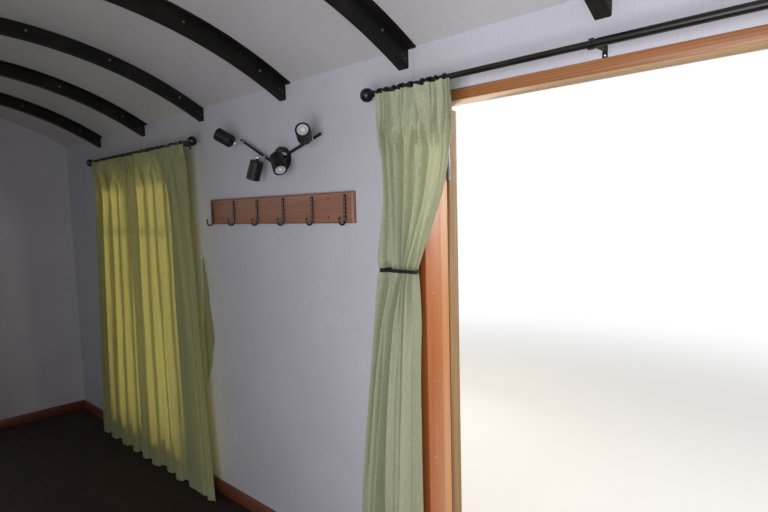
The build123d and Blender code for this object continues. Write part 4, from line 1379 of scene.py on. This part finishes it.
@dataclass
class PoleRings:
    """Metal rings that hang askew in bunches on a pole, each with an eye for the curtain's hook."""

    axis_z: float
    radius: float
    bunches: Sequence[tuple[float, int]]
    seed: int
    inner: float = 0.0135
    wire: float = 0.0021
    steps: int = 22
    sides: int = 8
    eye: float = 0.003
    eye_wire: float = 0.0009
    eye_drop: float = 0.0026
    eye_steps: int = 12
    eye_sides: int = 6
    clearance: float = 0.0002
    pitch: float = 0.0054
    lean: float = 24.0
    turn_share: Pair = (0.35, 1.0)
    tilt_share: Pair = (-0.4, 0.4)

    def add_to(self, shape: bmesh.types.BMesh) -> None:
        """Adds every ring and its eye to a shape."""
        chance = random.Random(self.seed)
        drop = Matrix.Translation((self.inner + 2 * self.wire + self.eye_drop, 0, 0))
        low = drop @ Matrix.Rotation(math.pi / 2, 4, "X")
        upright = Matrix.Rotation(math.pi / 2, 4, "Y")
        level = self.axis_z - self.inner + self.radius + self.clearance
        for x, count in self.bunches:
            turn = math.radians(chance.choice((-1, 1)) * chance.uniform(*self.turn_share) * self.lean)
            tilt = math.radians(chance.uniform(*self.tilt_share) * self.lean)
            askew = Matrix.Rotation(turn, 4, "Z") @ Matrix.Rotation(tilt, 4, "Y")
            for index in range(count):
                place = x + (index - (count - 1) / 2) * self.pitch / math.cos(turn)
                matrix = Matrix.Translation((place, POLE_Y, level)) @ askew @ upright
                self.add_ring(shape, self.inner + self.wire, self.wire, matrix, self.steps, self.sides)
                self.add_ring(shape, self.eye, self.eye_wire, matrix @ low, self.eye_steps, self.eye_sides)

    def add_ring(
        self, shape: bmesh.types.BMesh, middle: float, wire: float, matrix: Matrix, steps: int, sides: int
    ) -> None:
        """Adds one torus.

        Args:
            shape: The bmesh that it is added to.
            middle: The radius of the wire's centre line.
            wire: The wire's radius.
            matrix: Where its axis, +Z, goes.
            steps: The number of steps round the ring.
            sides: The number of sides of the wire.
        """
        before = set(shape.verts)
        stand = Matrix.Translation((middle, 0, 0)) @ Matrix.Rotation(math.pi / 2, 4, "X")
        circle = bmesh.ops.create_circle(shape, segments=sides, radius=wire, matrix=stand)["verts"]
        spin_round(shape, circle + list({e for v in circle for e in v.link_edges}), steps)
        made = [v for v in shape.verts if v not in before]
        bmesh.ops.recalc_face_normals(shape, faces=list({f for v in made for f in v.link_faces}))
        bmesh.ops.transform(shape, matrix=matrix, verts=made)


@dataclass(frozen=True)
class Row:
    """One level of a curtain: its edges in X, and how far it stands from the wall."""

    level: float
    left: float
    right: float
    wall: float
    room: float


@dataclass(frozen=True)
class Fold:
    """A crest or hollow of a curtain, followed down one thread.

    The thread is its place across the cloth. For each of the curtain's fold levels there is the
    share of the width at which it lies, and its depth, from -1 at the wall side to 1 at the room side.
    """

    thread: float
    across: tuple[float, ...]
    depth: tuple[float, ...]


@dataclass(frozen=True)
class Ripple:
    """A smooth random change over a cloth.

    Attributes:
        across: How fast it changes from thread to thread.
        down: How fast it changes with the height.
        salt: The number that sets it apart from the cloth's other ripples.
        middle: The value that it swings about.
        swing: How far it swings.
    """

    across: float
    down: float
    salt: int
    middle: float = 0.0
    swing: float = 1.0

    def at(self, u: float, level: float, seed: int) -> float:
        """Its value at one thread and height of the cloth with this seed."""
        spot = Vector((u * self.across, level * self.down, seed + self.salt))
        return self.middle + self.swing * noise.noise(spot)


@dataclass
class Curtain:
    """A gathered curtain: fine pleats at its heading that run out into deep, uneven folds.

    Attributes:
        flat: The width and length of the cloth laid flat.
        rows: Its outline, from the top down.
        levels: The heights at which its folds are given.
        pleats: The number of fine pleats in its heading.
        heading: The height of its heading.
        heading_end: The share of the heading below which the fine pleats fade.
        selvage: The share of the cloth at either edge over which the fine pleats fade.
        calm: How much the heading takes away from the deep folds.
        margin: The room left before and behind the folds.
        margin_cut: How much of that room the top row gives up, over its last margin_run.
        roundness: How much each crest is widened.
        crispness: The share of each fold's rise that is straight.
        pinch: How much deeper the folds may go in the heading, and below it for pinch_run headings.
        crease: The depth of the creases between the folds.
        crease_thin: How thin those creases are.
        sag: How far the top edge droops, over its last sag_run.
        hem_lift: How far the hem rises, over its last hem_run.
        halvings: The number of steps in the search for the folds' depth.
    """

    name: str
    node: str
    finish: SlubCloth
    flat: Pair
    rows: tuple[Row, ...]
    levels: tuple[float, ...]
    folds: tuple[Fold, ...]
    pleats: int
    seed: int
    held: str
    rests_on: tuple[str, ...]
    columns: int = 300
    steps: int = 190
    side: Side = Side.LEFT
    heading: float = 0.075
    heading_end: float = 0.8
    selvage: float = 0.02
    calm: float = 0.55
    margin: float = 0.005
    margin_cut: float = 0.8
    margin_run: float = 0.1
    roundness: float = 0.11
    crispness: float = 0.65
    pinch: float = 0.9
    pinch_run: float = 3.0
    crease: float = 0.26
    crease_thin: float = 3.4
    sag: float = 0.006
    sag_run: float = 0.05
    hem_lift: float = 0.011
    hem_run: float = 0.14
    halvings: int = 13
    reach: Ripple = Ripple(17, 0, 21, 3.2, 3.4)
    slant: Ripple = Ripple(8, 5, 5, 0.0, 1.3)
    weight: Ripple = Ripple(14, 4, 61, 0.8, 0.6)
    ridge: Ripple = Ripple(1.2, 0.8, 9)
    droop: Ripple = Ripple(26, 0, 31, 0.5)
    wave: Ripple = Ripple(8, 0, 77, 0.45)

    def build(self, model: Model) -> None:
        shape = bmesh.new()
        bmesh.ops.create_grid(shape, x_segments=self.columns, y_segments=self.steps, size=0.5)
        layer = shape.loops.layers.uv.new("Cloth")
        spots = {v: (v.co.x + 0.5, v.co.y + 0.5) for v in shape.verts}
        for face in shape.faces:
            for loop in face.loops:
                u, v = spots[loop.vert]
                loop[layer].uv = (u * self.flat[0], v * self.flat[1])
        levels: dict[float, list[bmesh.types.BMVert]] = {}
        for vert, (_, v) in spots.items():
            levels.setdefault(round(v, CLOTH_DIGITS), []).append(vert)
        top, bottom = self.rows[0].level, self.rows[-1].level
        for v, verts in levels.items():
            verts.sort(key=lambda vert: spots[vert][0])
            threads = [spots[vert][0] for vert in verts]
            for vert, point in zip(verts, self.line(bottom + (top - bottom) * v, threads)):
                vert.co = point
        if self.side is Side.RIGHT:
            for vert in shape.verts:
                vert.co.x = 2 * DOOR_CENTRE - vert.co.x
            bmesh.ops.reverse_faces(shape, faces=shape.faces)
        piece = model.place(
            self.name, shape, [self.finish], stands_for=[self.node], slot="green_cloth", crease=CLOTH_CREASE
        )

    def nodes_at(self, level: float) -> list[tuple[float, float, float]]:
        """Each fold's thread, share across and depth at a height above the floor."""
        across = follow(self.levels, list(zip(*(fold.across for fold in self.folds))), level)
        depth = follow(self.levels, list(zip(*(fold.depth for fold in self.folds))), level)
        return [(fold.thread, a, d) for fold, a, d in zip(self.folds, across, depth)]

    def line(self, level: float, threads: Sequence[float]) -> list[Vector]:
        """Lays one level's threads along its folds.

        Args:
            level: The height above the floor.
            threads: Each thread's place across the cloth, from 0 to 1.

        Returns:
            The threads' points.
        """
        extents = [(row.left, row.right, row.wall, row.room) for row in self.rows]
        left, right, wall, room = follow([row.level for row in self.rows], extents, level)
        top = self.rows[0].level
        nodes = self.nodes_at(level)
        shares, depths = [], []
        for u in threads:
            across, deep = self.place(nodes, u)
            shares.append(across)
            depths.append(self.depth(u, level, deep))
        middle = -(wall + room) / 2
        spared = 1 - self.margin_cut * smoothstep(top - self.margin_run, top, level)
        most = (room - wall) / 2 - self.margin * spared
        pinched = smoothstep(top - self.pinch_run * self.heading, top - self.heading, level)
        places = [left + (right - left) * share for share in shares]
        reach = self.solve(places, depths, most * (1 + self.pinch * pinched))
        hanging = smoothstep(top - self.sag_run, top, level)
        hem = smoothstep(self.hem_run, 0.0, level)
        points = []
        for u, x, depth in zip(threads, places, depths):
            sag = self.sag * self.droop.at(u, level, self.seed) * hanging
            lift = self.hem_lift * self.wave.at(u, level, self.seed) * hem
            y = middle - max(-most, min(most, reach * depth))
            points.append(Vector((x, y, FLOOR + level - max(0.0, sag) + max(0.0, lift))))
        return points

    def depth(self, u: float, level: float, deep: float) -> float:
        """Adds the fine pleats and the creases to a thread's depth in its deep fold.

        Args:
            u: The thread's place across the cloth, from 0 to 1.
            level: The height above the floor.
            deep: The thread's depth in its deep fold.

        Returns:
            The thread's depth.
        """
        top = self.rows[0].level
        fade = top - self.heading * self.reach.at(u, level, self.seed)
        head = smoothstep(fade, top - self.heading * self.heading_end, level)
        turn = 2 * math.pi * (self.pleats * u + self.slant.at(u, level, self.seed))
        pleat = math.sin(turn) * smoothstep(0.0, self.selvage, min(u, 1 - u))
        fine = self.weight.at(u, level, self.seed) * pleat * head
        ridge = max(0.0, 1 - self.crease_thin * abs(self.ridge.at(u * self.pleats, level, self.seed)))
        return deep * (1 - self.calm * head) + fine - self.crease * ridge * ridge * (1 - head)

    def place(self, nodes: Sequence[tuple[float, float, float]], u: float) -> Pair:
        """Finds where a thread lies between two folds.

        Args:
            nodes: Each fold's thread, share across and depth.
            u: The thread's place across the cloth, from 0 to 1.

        Returns:
            The thread's share across and its depth.
        """
        last = len(nodes) - 1
        index = next((i for i in range(1, last) if u <= nodes[i][0]), last)
        (start, a, near), (stop, b, far) = nodes[index - 1], nodes[index]
        t = min(1.0, max(0.0, (u - start) / (stop - start)))
        along = t + self.roundness * math.sin(2 * math.pi * t)
        rise = self.crispness * t + (1 - self.crispness) * (1 - math.cos(math.pi * t)) / 2
        return a + (b - a) * along, near + (far - near) * rise

    def solve(self, places: Sequence[float], depths: Sequence[float], most: float) -> float:
        """Finds the depth of fold that takes up the cloth's width.

        Args:
            places: Each thread's X.
            depths: Each thread's depth, from -1 to 1.
            most: The most depth that it may take to either side.

        Returns:
            The depth of fold to use.
        """
        low, high = 0.0, most / max(abs(d) for d in depths)
        for _ in range(self.halvings):
            middle = (low + high) / 2
            length = sum(
                math.hypot(b - a, middle * (far - near))
                for a, b, near, far in zip(places, places[1:], depths, depths[1:])
            )
            if length < self.flat[0]:
                low = middle
            else:
                high = middle
        return (low + high) / 2


@dataclass
class Strap:
    """The loose window tieback, hung by its loop from its little hook.

    Attributes:
        hook: Where the hook holds it.
        flat: The width and length of its cloth laid flat.
        levels: The share of the length, the middle measured from the hook and the width at each level.
        drop: How far its top lies below the hook.
        hung_share: The share of its flat length that it keeps when it hangs.
        stand_off: How far it stands off the wall.
        bow: How far its middle bows out everywhere, and how much more at half its length.
        wave: How far it waves in and out.
        wave_turns: How fast that wave changes down and across the cloth.
        map_shift: How far along the cloth its weave starts.
    """

    hook: Point = (2.02, -0.011, FLOOR + 1.304)
    flat: Pair = (0.1, 0.69)
    levels: tuple[Point, ...] = (
        (0.0, 0.004, 0.02), (0.31, 0.017, 0.05), (0.63, 0.026, 0.1), (0.8, 0.016, 0.06),
        (1.0, -0.013, 0.008),
    )
    columns: int = 16
    rows: int = 70
    drop: float = 0.003
    hung_share: float = 0.995
    stand_off: float = 0.0045
    bow: Pair = (0.0016, 0.0012)
    wave: float = 0.0012
    wave_turns: Pair = (9.0, 5.0)
    map_shift: float = 0.2

    def build(self, model: Model) -> None:
        """Makes the leaf-shaped strap."""
        model.dress(BRIGHT_PLATE, "strap_hook")
        shape = bmesh.new()
        bmesh.ops.create_grid(shape, x_segments=self.columns, y_segments=self.rows, size=0.5)
        layer = shape.loops.layers.uv.new("Cloth")
        wide, long = self.flat
        for face in shape.faces:
            for loop in face.loops:
                u, v = loop.vert.co.x + 0.5, loop.vert.co.y + 0.5
                loop[layer].uv = (u * wide, v * long + self.map_shift)
        for vert in shape.verts:
            across, down = vert.co.x, 0.5 - vert.co.y
            middle, width = self.span(down)
            bow = self.bow[0] + self.bow[1] * math.cos(math.pi * across * 2) * math.sin(math.pi * down)
            wave = self.wave * math.sin(self.wave_turns[0] * down + self.wave_turns[1] * across)
            level = self.hook[2] - self.drop - down * long * self.hung_share
            vert.co = (self.hook[0] + middle + across * width, -self.stand_off - bow - wave, level)
        piece = model.place(
            "loose_window_strap", shape, [STRAP_CLOTH], stands_for=["window_strap"], slot="green_cloth",
            crease=CLOTH_CREASE,
        )

    def span(self, down: float) -> Pair:
        """The strap's middle, measured from the hook, and its width at a share of its length."""
        last = len(self.levels) - 1
        index = next((i for i in range(1, last) if down <= self.levels[i][0]), last)
        (high, a, wide), (low, b, wider) = self.levels[index - 1], self.levels[index]
        share = smoothstep(high, low, down)
        return a + (b - a) * share, wide + (wider - wide) * share


# The left door curtain's rows: a heading in front of the rings, the waist, and the levels below it.
DOOR_ROWS = (
    Row(1.937, 3.456, 3.766, 0.1112, 0.134),
    Row(1.868, 3.454, 3.762, 0.1, 0.134),
    Row(1.79, 3.446, 3.748, 0.066, 0.128),
    Row(1.6, 3.447, 3.7, 0.05, 0.118),
    Row(1.47, 3.424, 3.656, 0.041, 0.111),
    Row(1.37, 3.398, 3.62, 0.033, 0.105),
    Row(1.335, 3.4, 3.6055, 0.031, 0.104),
    Row(1.315, 3.4, 3.6055, 0.031, 0.104),
    Row(1.12, 3.384, 3.606, 0.031, 0.116),
    Row(0.43, 3.298, 3.606, 0.031, 0.139),
    Row(0.008, 3.273, 3.611, 0.031, 0.149),
)
DOOR_LEVELS = (1.937, 1.6, 1.335, 1.315, 1.12, 0.43, 0.008)
DOOR_FOLDS = (
    Fold(0.0, (0.0, 0.0, 0.0, 0.0, 0.0, 0.0, 0.0), (0.0, -0.3, -0.3, -0.3, -0.3, -0.2, -0.2)),
    Fold(0.05, (0.05, 0.05, 0.07, 0.07, 0.06, 0.06, 0.07), (0.6, 0.8, 0.8, 0.8, 0.8, 0.6, 0.7)),
    Fold(0.1, (0.09, 0.1, 0.25, 0.25, 0.13, 0.12, 0.13), (-0.8, -0.6, -0.9, -0.9, -0.5, 0.1, 0.0)),
    Fold(0.16, (0.16, 0.15, 0.38, 0.38, 0.22, 0.19, 0.2), (0.8, 0.8, 0.9, 0.9, 0.9, 0.8, 0.9)),
    Fold(0.21, (0.21, 0.2, 0.46, 0.46, 0.29, 0.25, 0.25), (-0.7, -0.4, 0.3, 0.3, 0.2, 0.3, 0.3)),
    Fold(0.28, (0.3, 0.29, 0.53, 0.53, 0.38, 0.33, 0.34), (1.0, 1.0, 0.9, 0.9, 1.0, 1.0, 1.0)),
    Fold(0.35, (0.36, 0.35, 0.56, 0.56, 0.4, 0.35, 0.35), (-1.0, -1.0, -0.8, -0.8, -0.7, -1.0, -1.0)),
    Fold(0.43, (0.45, 0.43, 0.59, 0.59, 0.47, 0.47, 0.48), (0.8, 0.9, 0.8, 0.8, 0.9, 0.95, 0.95)),
    Fold(0.5, (0.52, 0.51, 0.615, 0.615, 0.56, 0.58, 0.58), (-0.9, -1.0, -1.0, -1.0, 0.5, 0.8, 0.8)),
    Fold(0.57, (0.6, 0.62, 0.645, 0.645, 0.66, 0.69, 0.69), (1.0, 1.0, 0.9, 0.9, 1.0, 1.0, 1.0)),
    Fold(0.62, (0.67, 0.745, 0.67, 0.67, 0.68, 0.7, 0.7), (-0.8, -1.0, -0.9, -0.9, -0.3, 0.1, 0.0)),
    Fold(0.67, (0.73, 0.79, 0.7, 0.7, 0.72, 0.735, 0.735), (0.9, 0.9, 0.9, 0.9, 1.0, 1.0, 1.0)),
    Fold(0.76, (0.81, 0.87, 0.77, 0.77, 0.84, 0.87, 0.87), (-0.7, 0.8, -0.2, -0.2, 0.6, 0.8, 0.8)),
    Fold(0.86, (0.9, 0.955, 0.86, 0.86, 0.95, 0.975, 0.975), (0.9, 1.0, 1.0, 1.0, 1.0, 1.0, 1.0)),
    Fold(0.93, (0.96, 0.985, 0.91, 0.91, 0.93, 0.955, 0.955), (0.2, 0.4, 0.3, 0.3, 0.1, 0.0, 0.0)),
    Fold(1.0, (1.0, 1.0, 0.83, 0.83, 0.86, 0.915, 0.915), (0.5, -0.1, -0.4, -0.4, -0.4, -0.4, -0.4)),
)
# The window curtain's rows, and its folds from the left, with a broad panel before the last.
WINDOW_ROWS = (
    Row(1.908, 0.84, 2.102, 0.1112, 0.136),
    Row(1.84, 0.838, 2.104, 0.1, 0.138),
    Row(1.75, 0.83, 2.096, 0.064, 0.138),
    Row(1.13, 0.752, 2.108, 0.0435, 0.1426),
    Row(0.008, 0.656, 2.186, 0.031, 0.164),
)
WINDOW_LEVELS = (1.908, 1.13, 0.008)
WINDOW_FOLDS = (
    Fold(0.0, (0.0, 0.0, 0.0), (0.0, 0.0, 0.0)),
    Fold(0.04, (0.03, 0.03, 0.03), (0.8, 0.8, 0.7)),
    Fold(0.08, (0.08, 0.085, 0.085), (-0.8, -0.8, -0.8)),
    Fold(0.125, (0.14, 0.14, 0.135), (0.9, 0.9, 1.0)),
    Fold(0.17, (0.185, 0.19, 0.195), (-1.0, -1.0, -0.9)),
    Fold(0.215, (0.25, 0.25, 0.245), (0.8, 0.8, 0.9)),
    Fold(0.26, (0.30, 0.31, 0.315), (-0.5, -0.7, -0.8)),
    Fold(0.305, (0.355, 0.35, 0.355), (0.9, 0.9, 0.8)),
    Fold(0.35, (0.405, 0.40, 0.40), (-0.9, -1.0, -1.0)),
    Fold(0.395, (0.44, 0.445, 0.45), (0.7, 0.7, 0.8)),
    Fold(0.44, (0.495, 0.49, 0.485), (-1.0, -1.0, -0.8)),
    Fold(0.49, (0.545, 0.55, 0.55), (1.0, 1.0, 1.0)),
    Fold(0.54, (0.60, 0.61, 0.615), (-0.9, -1.0, -1.0)),
    Fold(0.585, (0.655, 0.655, 0.66), (0.8, 0.8, 0.7)),
    Fold(0.63, (0.695, 0.70, 0.70), (-0.7, -0.6, -0.8)),
    Fold(0.68, (0.75, 0.745, 0.74), (0.9, 1.0, 1.0)),
    Fold(0.735, (0.80, 0.80, 0.795), (-1.0, -1.0, -1.0)),
    Fold(0.78, (0.825, 0.84, 0.84), (0.6, 0.6, 0.7)),
    Fold(0.86, (0.85, 0.915, 0.93), (0.8, 0.8, 0.8)),
    Fold(0.9, (0.87, 0.935, 0.945), (-0.9, -1.0, -0.9)),
    Fold(0.95, (0.93, 0.965, 0.97), (1.0, 1.0, 1.0)),
    Fold(1.0, (1.0, 1.0, 1.0), (0.6, 0.5, 0.4)),
)


@dataclass
class SoftGoods:
    """Poles, rings, curtains and tiebacks."""

    door_pole: float = FLOOR + 1.947
    window_pole: float = FLOOR + 1.918
    thin_tube: float = 0.0095
    thick_tube: float = 0.0115
    door_bunches: tuple[tuple[float, int], ...] = (
        (3.447, 2), (3.478, 3), (3.512, 2), (3.545, 3), (3.583, 3), (3.661, 3), (3.691, 2), (3.722, 2),
    )
    window_bunches: tuple[float, ...] = (
        0.84, 0.907, 0.968, 1.036, 1.101, 1.158, 1.225, 1.287, 1.356, 1.415, 1.482, 1.545, 1.611,
        1.672, 1.74, 1.802, 1.905, 2.012,
    )
    window_bunch: int = 3
    door_ring_seed: int = 3
    window_ring_seed: int = 5
    bracket_x: tuple[float, ...] = (3.631, 4.186, 4.769)
    bracket_face: float = -0.003
    screw_levels: tuple[float, ...] = (0.026, -0.0145)
    screw: Outline = ((0.0, 0.0012), (0.0018, 0.001), (0.0032, 0.0), (0.0032, -0.0004), (0.0, -0.0004))
    screw_steps: int = 12
    band: Outline = (
        (3.449, -0.1), (3.453, -0.1075), (3.55, -0.1085), (3.6, -0.108), (3.6075, -0.102), (3.5835, -0.066),
        (3.559, -0.036), (3.548, -0.0285), (3.47, -0.0285), (3.453, -0.031), (3.449, -0.038),
    )
    band_level: float = FLOOR + 1.325
    band_height: float = 0.012
    band_thick: float = 0.0025
    buckle_x: Pair = (3.443, 3.465)
    buckle_y: Pair = (-0.1135, -0.1085)
    buckle_rise: float = 0.0075
    buckle_ease: float = 0.002
    eye_x: float = 3.513
    eye: Outline = ((0.0, 0.03), (0.002, 0.03), (0.002, 0.003), (0.008, 0.002), (0.008, 0.0), (0.0, 0.0))
    eye_steps: int = 14

    def build(self, model: Model) -> None:
        """Dresses the poles and hangs the curtains."""
        model.dress(POLE_COAT, "door_pole_inner", "door_pole_outer", "door_pole_brackets")
        model.dress(POLE_COAT, "window_pole", "window_pole_brackets")
        self.hang_rings(model)
        self.fix_brackets(model)
        self.tie_back(model)
        for side in Side:
            Curtain(
                name=f"{side.word}_door_curtain",
                node=f"door_curtain_{side.word}",
                finish=DOOR_CLOTH,
                flat=(0.95, 1.94),
                rows=DOOR_ROWS,
                levels=DOOR_LEVELS,
                folds=DOOR_FOLDS,
                pleats=10,
                seed=12 if side is Side.LEFT else 19,
                held="gathered",
                rests_on=("door_rings", "tieback_bands"),
                side=side,
            ).build(model)
        Curtain(
            name="drawn_window_curtain",
            node="window_curtain",
            finish=WINDOW_CLOTH,
            flat=(2.0, 1.91),
            rows=WINDOW_ROWS,
            levels=WINDOW_LEVELS,
            folds=WINDOW_FOLDS,
            pleats=20,
            seed=27,
            held="hung",
            rests_on=("window_rings",),
            columns=420,
            steps=160,
            roundness=0.21,
        ).build(model)
        Strap().build(model)

    def hang_rings(self, model: Model) -> None:
        """Threads the rings on both poles."""
        shape = bmesh.new()
        for side in Side:
            places = [(side.mirror(x), count) for x, count in self.door_bunches]
            radius = self.thin_tube if side is Side.LEFT else self.thick_tube
            PoleRings(self.door_pole, radius, places, self.door_ring_seed + side.value).add_to(shape)
        model.place("door_rings", shape, [POLE_COAT], stands_for=["door_pole_rings"], slot="black_metal")
        shape = bmesh.new()
        places = [(x, self.window_bunch) for x in self.window_bunches]
        PoleRings(self.window_pole, self.thin_tube, places, self.window_ring_seed).add_to(shape)
        model.place("window_rings", shape, [POLE_COAT], stands_for=["window_pole_rings"], slot="black_metal")

    def fix_brackets(self, model: Model) -> None:
        """Adds the screws of the door pole's brackets."""
        shape = bmesh.new()
        for x in self.bracket_x:
            for level in self.screw_levels:
                place = facing((x, self.bracket_face, self.door_pole + level), (0, -1, 0))
                add_turned(shape, self.screw, place, self.screw_steps)
        model.place("bracket_screws", shape, [BRIGHT_PLATE], slot="hinge_steel")

    def tie_back(self, model: Model) -> None:
        """Lays a flat band round the waist of each door curtain, with its buckle and the eye on the wall."""
        shape = bmesh.new()
        count = len(self.band)
        for side in Side:
            verts = bmesh.ops.create_grid(shape, x_segments=count, y_segments=1, size=0.5)["verts"]
            for vert in verts:
                x, y = self.band[round((vert.co.x + 0.5) * count) % count]
                vert.co = (side.mirror(x), y, self.band_level + vert.co.y * self.band_height)
            bmesh.ops.remove_doubles(shape, verts=verts, dist=FINE_WELD)
            start, end = sorted(side.mirror(x) for x in self.buckle_x)
            add_block(
                shape,
                (start, self.buckle_y[0], self.band_level - self.buckle_rise),
                (end, self.buckle_y[1], self.band_level + self.buckle_rise),
                self.buckle_ease,
                segments=2,
            )
            wall = (side.mirror(self.eye_x), 0.0, self.band_level)
            add_turned(shape, self.eye, facing(wall, (0, -1, 0)), self.eye_steps)
        flat = [f for f in shape.faces if any(len(e.link_faces) == 1 for e in f.edges)]
        bmesh.ops.recalc_face_normals(shape, faces=flat)
        bmesh.ops.solidify(shape, geom=flat, thickness=self.band_thick)
        model.place("tieback_bands", shape, [BOUND_CORD], stands_for=["door_tiebacks"], slot="black_metal")


@dataclass(frozen=True)
class SoftLamp:
    """A square soft lamp.

    Attributes:
        name: Its name.
        place: Where it hangs.
        target: The point that it faces.
        size: The side of its square face.
        power: Its power in watts.
        colour: Its colour.
        spread: How wide it shines, in degrees.
    """

    name: str
    place: Point
    target: Point
    size: float
    power: float
    colour: str
    spread: float = 180.0

    def hang(self) -> None:
        """Hangs the lamp in the scene."""
        data = bpy.data.lights.new(self.name, "AREA")
        data.shape = "SQUARE"
        data.size = self.size
        data.energy = self.power
        data.color = linear(self.colour)[:3]
        data.spread = math.radians(self.spread)
        made = bpy.data.objects.new(self.name, data)
        bpy.context.scene.collection.objects.link(made)
        way = Vector(self.target) - Vector(self.place)
        made.location = self.place
        made.rotation_mode = "QUATERNION"
        made.rotation_quaternion = way.to_track_quat("-Z", "Y")


@dataclass
class Studio:
    """Camera, lamps, background and ground.

    One lamp hangs where the opposite doorway would be, and four are outdoors.
    """

    camera_at: Point = (4.836, -1.598, FLOOR + 1.542)
    yaw: float = 45.723
    pitch: float = -5.108
    roll: float = -1.781
    lens: float = 26.93
    sensor: float = 36.0
    shift: Pair = (0.0391, 0.0066)
    ground_reach: float = 30.0
    ambient: float = 0.05
    sky: str = "#f1f2f6"
    lamps: tuple[SoftLamp, ...] = (
        SoftLamp("opposite_doorway", (4.6, -2.1, 1.35), (4.6, 0.0, 1.35), 1.6, 45.0, "#fbfaff", 165.0),
        SoftLamp("doorway_daylight", (5.4, 2.5, 2.7), (4.1, 0.1, 1.0), 1.6, 90.0, "#f9faff"),
        SoftLamp("window_sun", (1.1, 3.4, 3.6), (1.3, 0.0, 1.3), 0.7, 165.0, "#ffedca"),
        SoftLamp("end_daylight", (-4.2, 1.4, 2.8), (-0.15, -0.3, 1.2), 2.0, 70.0, "#f6f7ff"),
        SoftLamp("window_sky", (1.3, 2.6, 1.9), (1.34, 0.0, 1.3), 1.8, 31.0, "#fff6e6"),
    )

    def build(self) -> None:
        """Sets the whole studio."""
        self.set_camera()
        self.set_ground()
        self.set_world()
        for lamp in self.lamps:
            lamp.hang()

    def set_camera(self) -> None:
        """Puts the camera where the photograph was taken from."""
        yaw, pitch, roll = (math.radians(a) for a in (self.yaw, self.pitch, self.roll))
        level = math.cos(pitch)
        forward = Vector((-math.sin(yaw) * level, math.cos(yaw) * level, math.sin(pitch)))
        right = Vector((math.cos(yaw), math.sin(yaw), 0.0))
        up = right.cross(forward)
        tilted = math.cos(roll) * right + math.sin(roll) * up
        upright = -math.sin(roll) * right + math.cos(roll) * up
        data = bpy.data.cameras.new("camera")
        data.lens = self.lens
        data.sensor_width = self.sensor
        data.shift_x, data.shift_y = self.shift
        camera = bpy.data.objects.new("camera", data)
        bpy.context.scene.collection.objects.link(camera)
        matrix = Matrix((tilted, upright, -forward)).transposed().to_4x4()
        matrix.translation = Vector(self.camera_at)
        camera.matrix_world = matrix
        bpy.context.scene.camera = camera

    def set_ground(self) -> None:
        """Lays the pale ground."""
        shape = bmesh.new()
        bmesh.ops.create_grid(shape, x_segments=1, y_segments=1, size=self.ground_reach)
        mesh = bpy.data.meshes.new("studio_ground")
        shape.to_mesh(mesh)
        shape.free()
        mesh.materials.append(GROUND.material())
        ground = bpy.data.objects.new("studio_ground", mesh)
        bpy.context.scene.collection.objects.link(ground)

    def set_world(self) -> None:
        """Lights evenly from all round, and shows white behind the object."""
        world = bpy.data.worlds.new("studio_world")
        bpy.context.scene.world = world
        world.use_nodes = True
        tree = world.node_tree
        tree.nodes.clear()
        path = add(tree, "LightPath").outputs
        seen = path["Is Camera Ray"]
        for ray in ("Is Transmission Ray", "Is Glossy Ray"):
            seen = add(tree, "Math", {0: seen, 1: path[ray]}, operation="MAXIMUM").outputs[0]
        soft = add(tree, "Background", {"Color": linear(self.sky), "Strength": self.ambient}).outputs[0]
        white = add(tree, "Background", {"Color": linear(WHITE), "Strength": 1.0}).outputs[0]
        mixed = add(tree, "MixShader", {0: seen, 1: soft, 2: white}).outputs[0]
        add(tree, "OutputWorld", {"Surface": mixed})


def main() -> None:
    """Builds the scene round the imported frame."""
    logging.basicConfig(level=logging.INFO, format="%(name)s: %(message)s")
    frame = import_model()
    bpy.context.scene.view_settings.view_transform = "Standard"
    model = Model(frame["nodes"])
    shell = (FloorDeck(), Boarding(), Lining(), Hoops(), Doorway(), Window())
    fittings = (CoatRail(), SpotLamp(), SoftGoods())
    for part in shell + fittings:
        part.build(model)
    Studio().build()


if __name__ == "__main__":
    main()
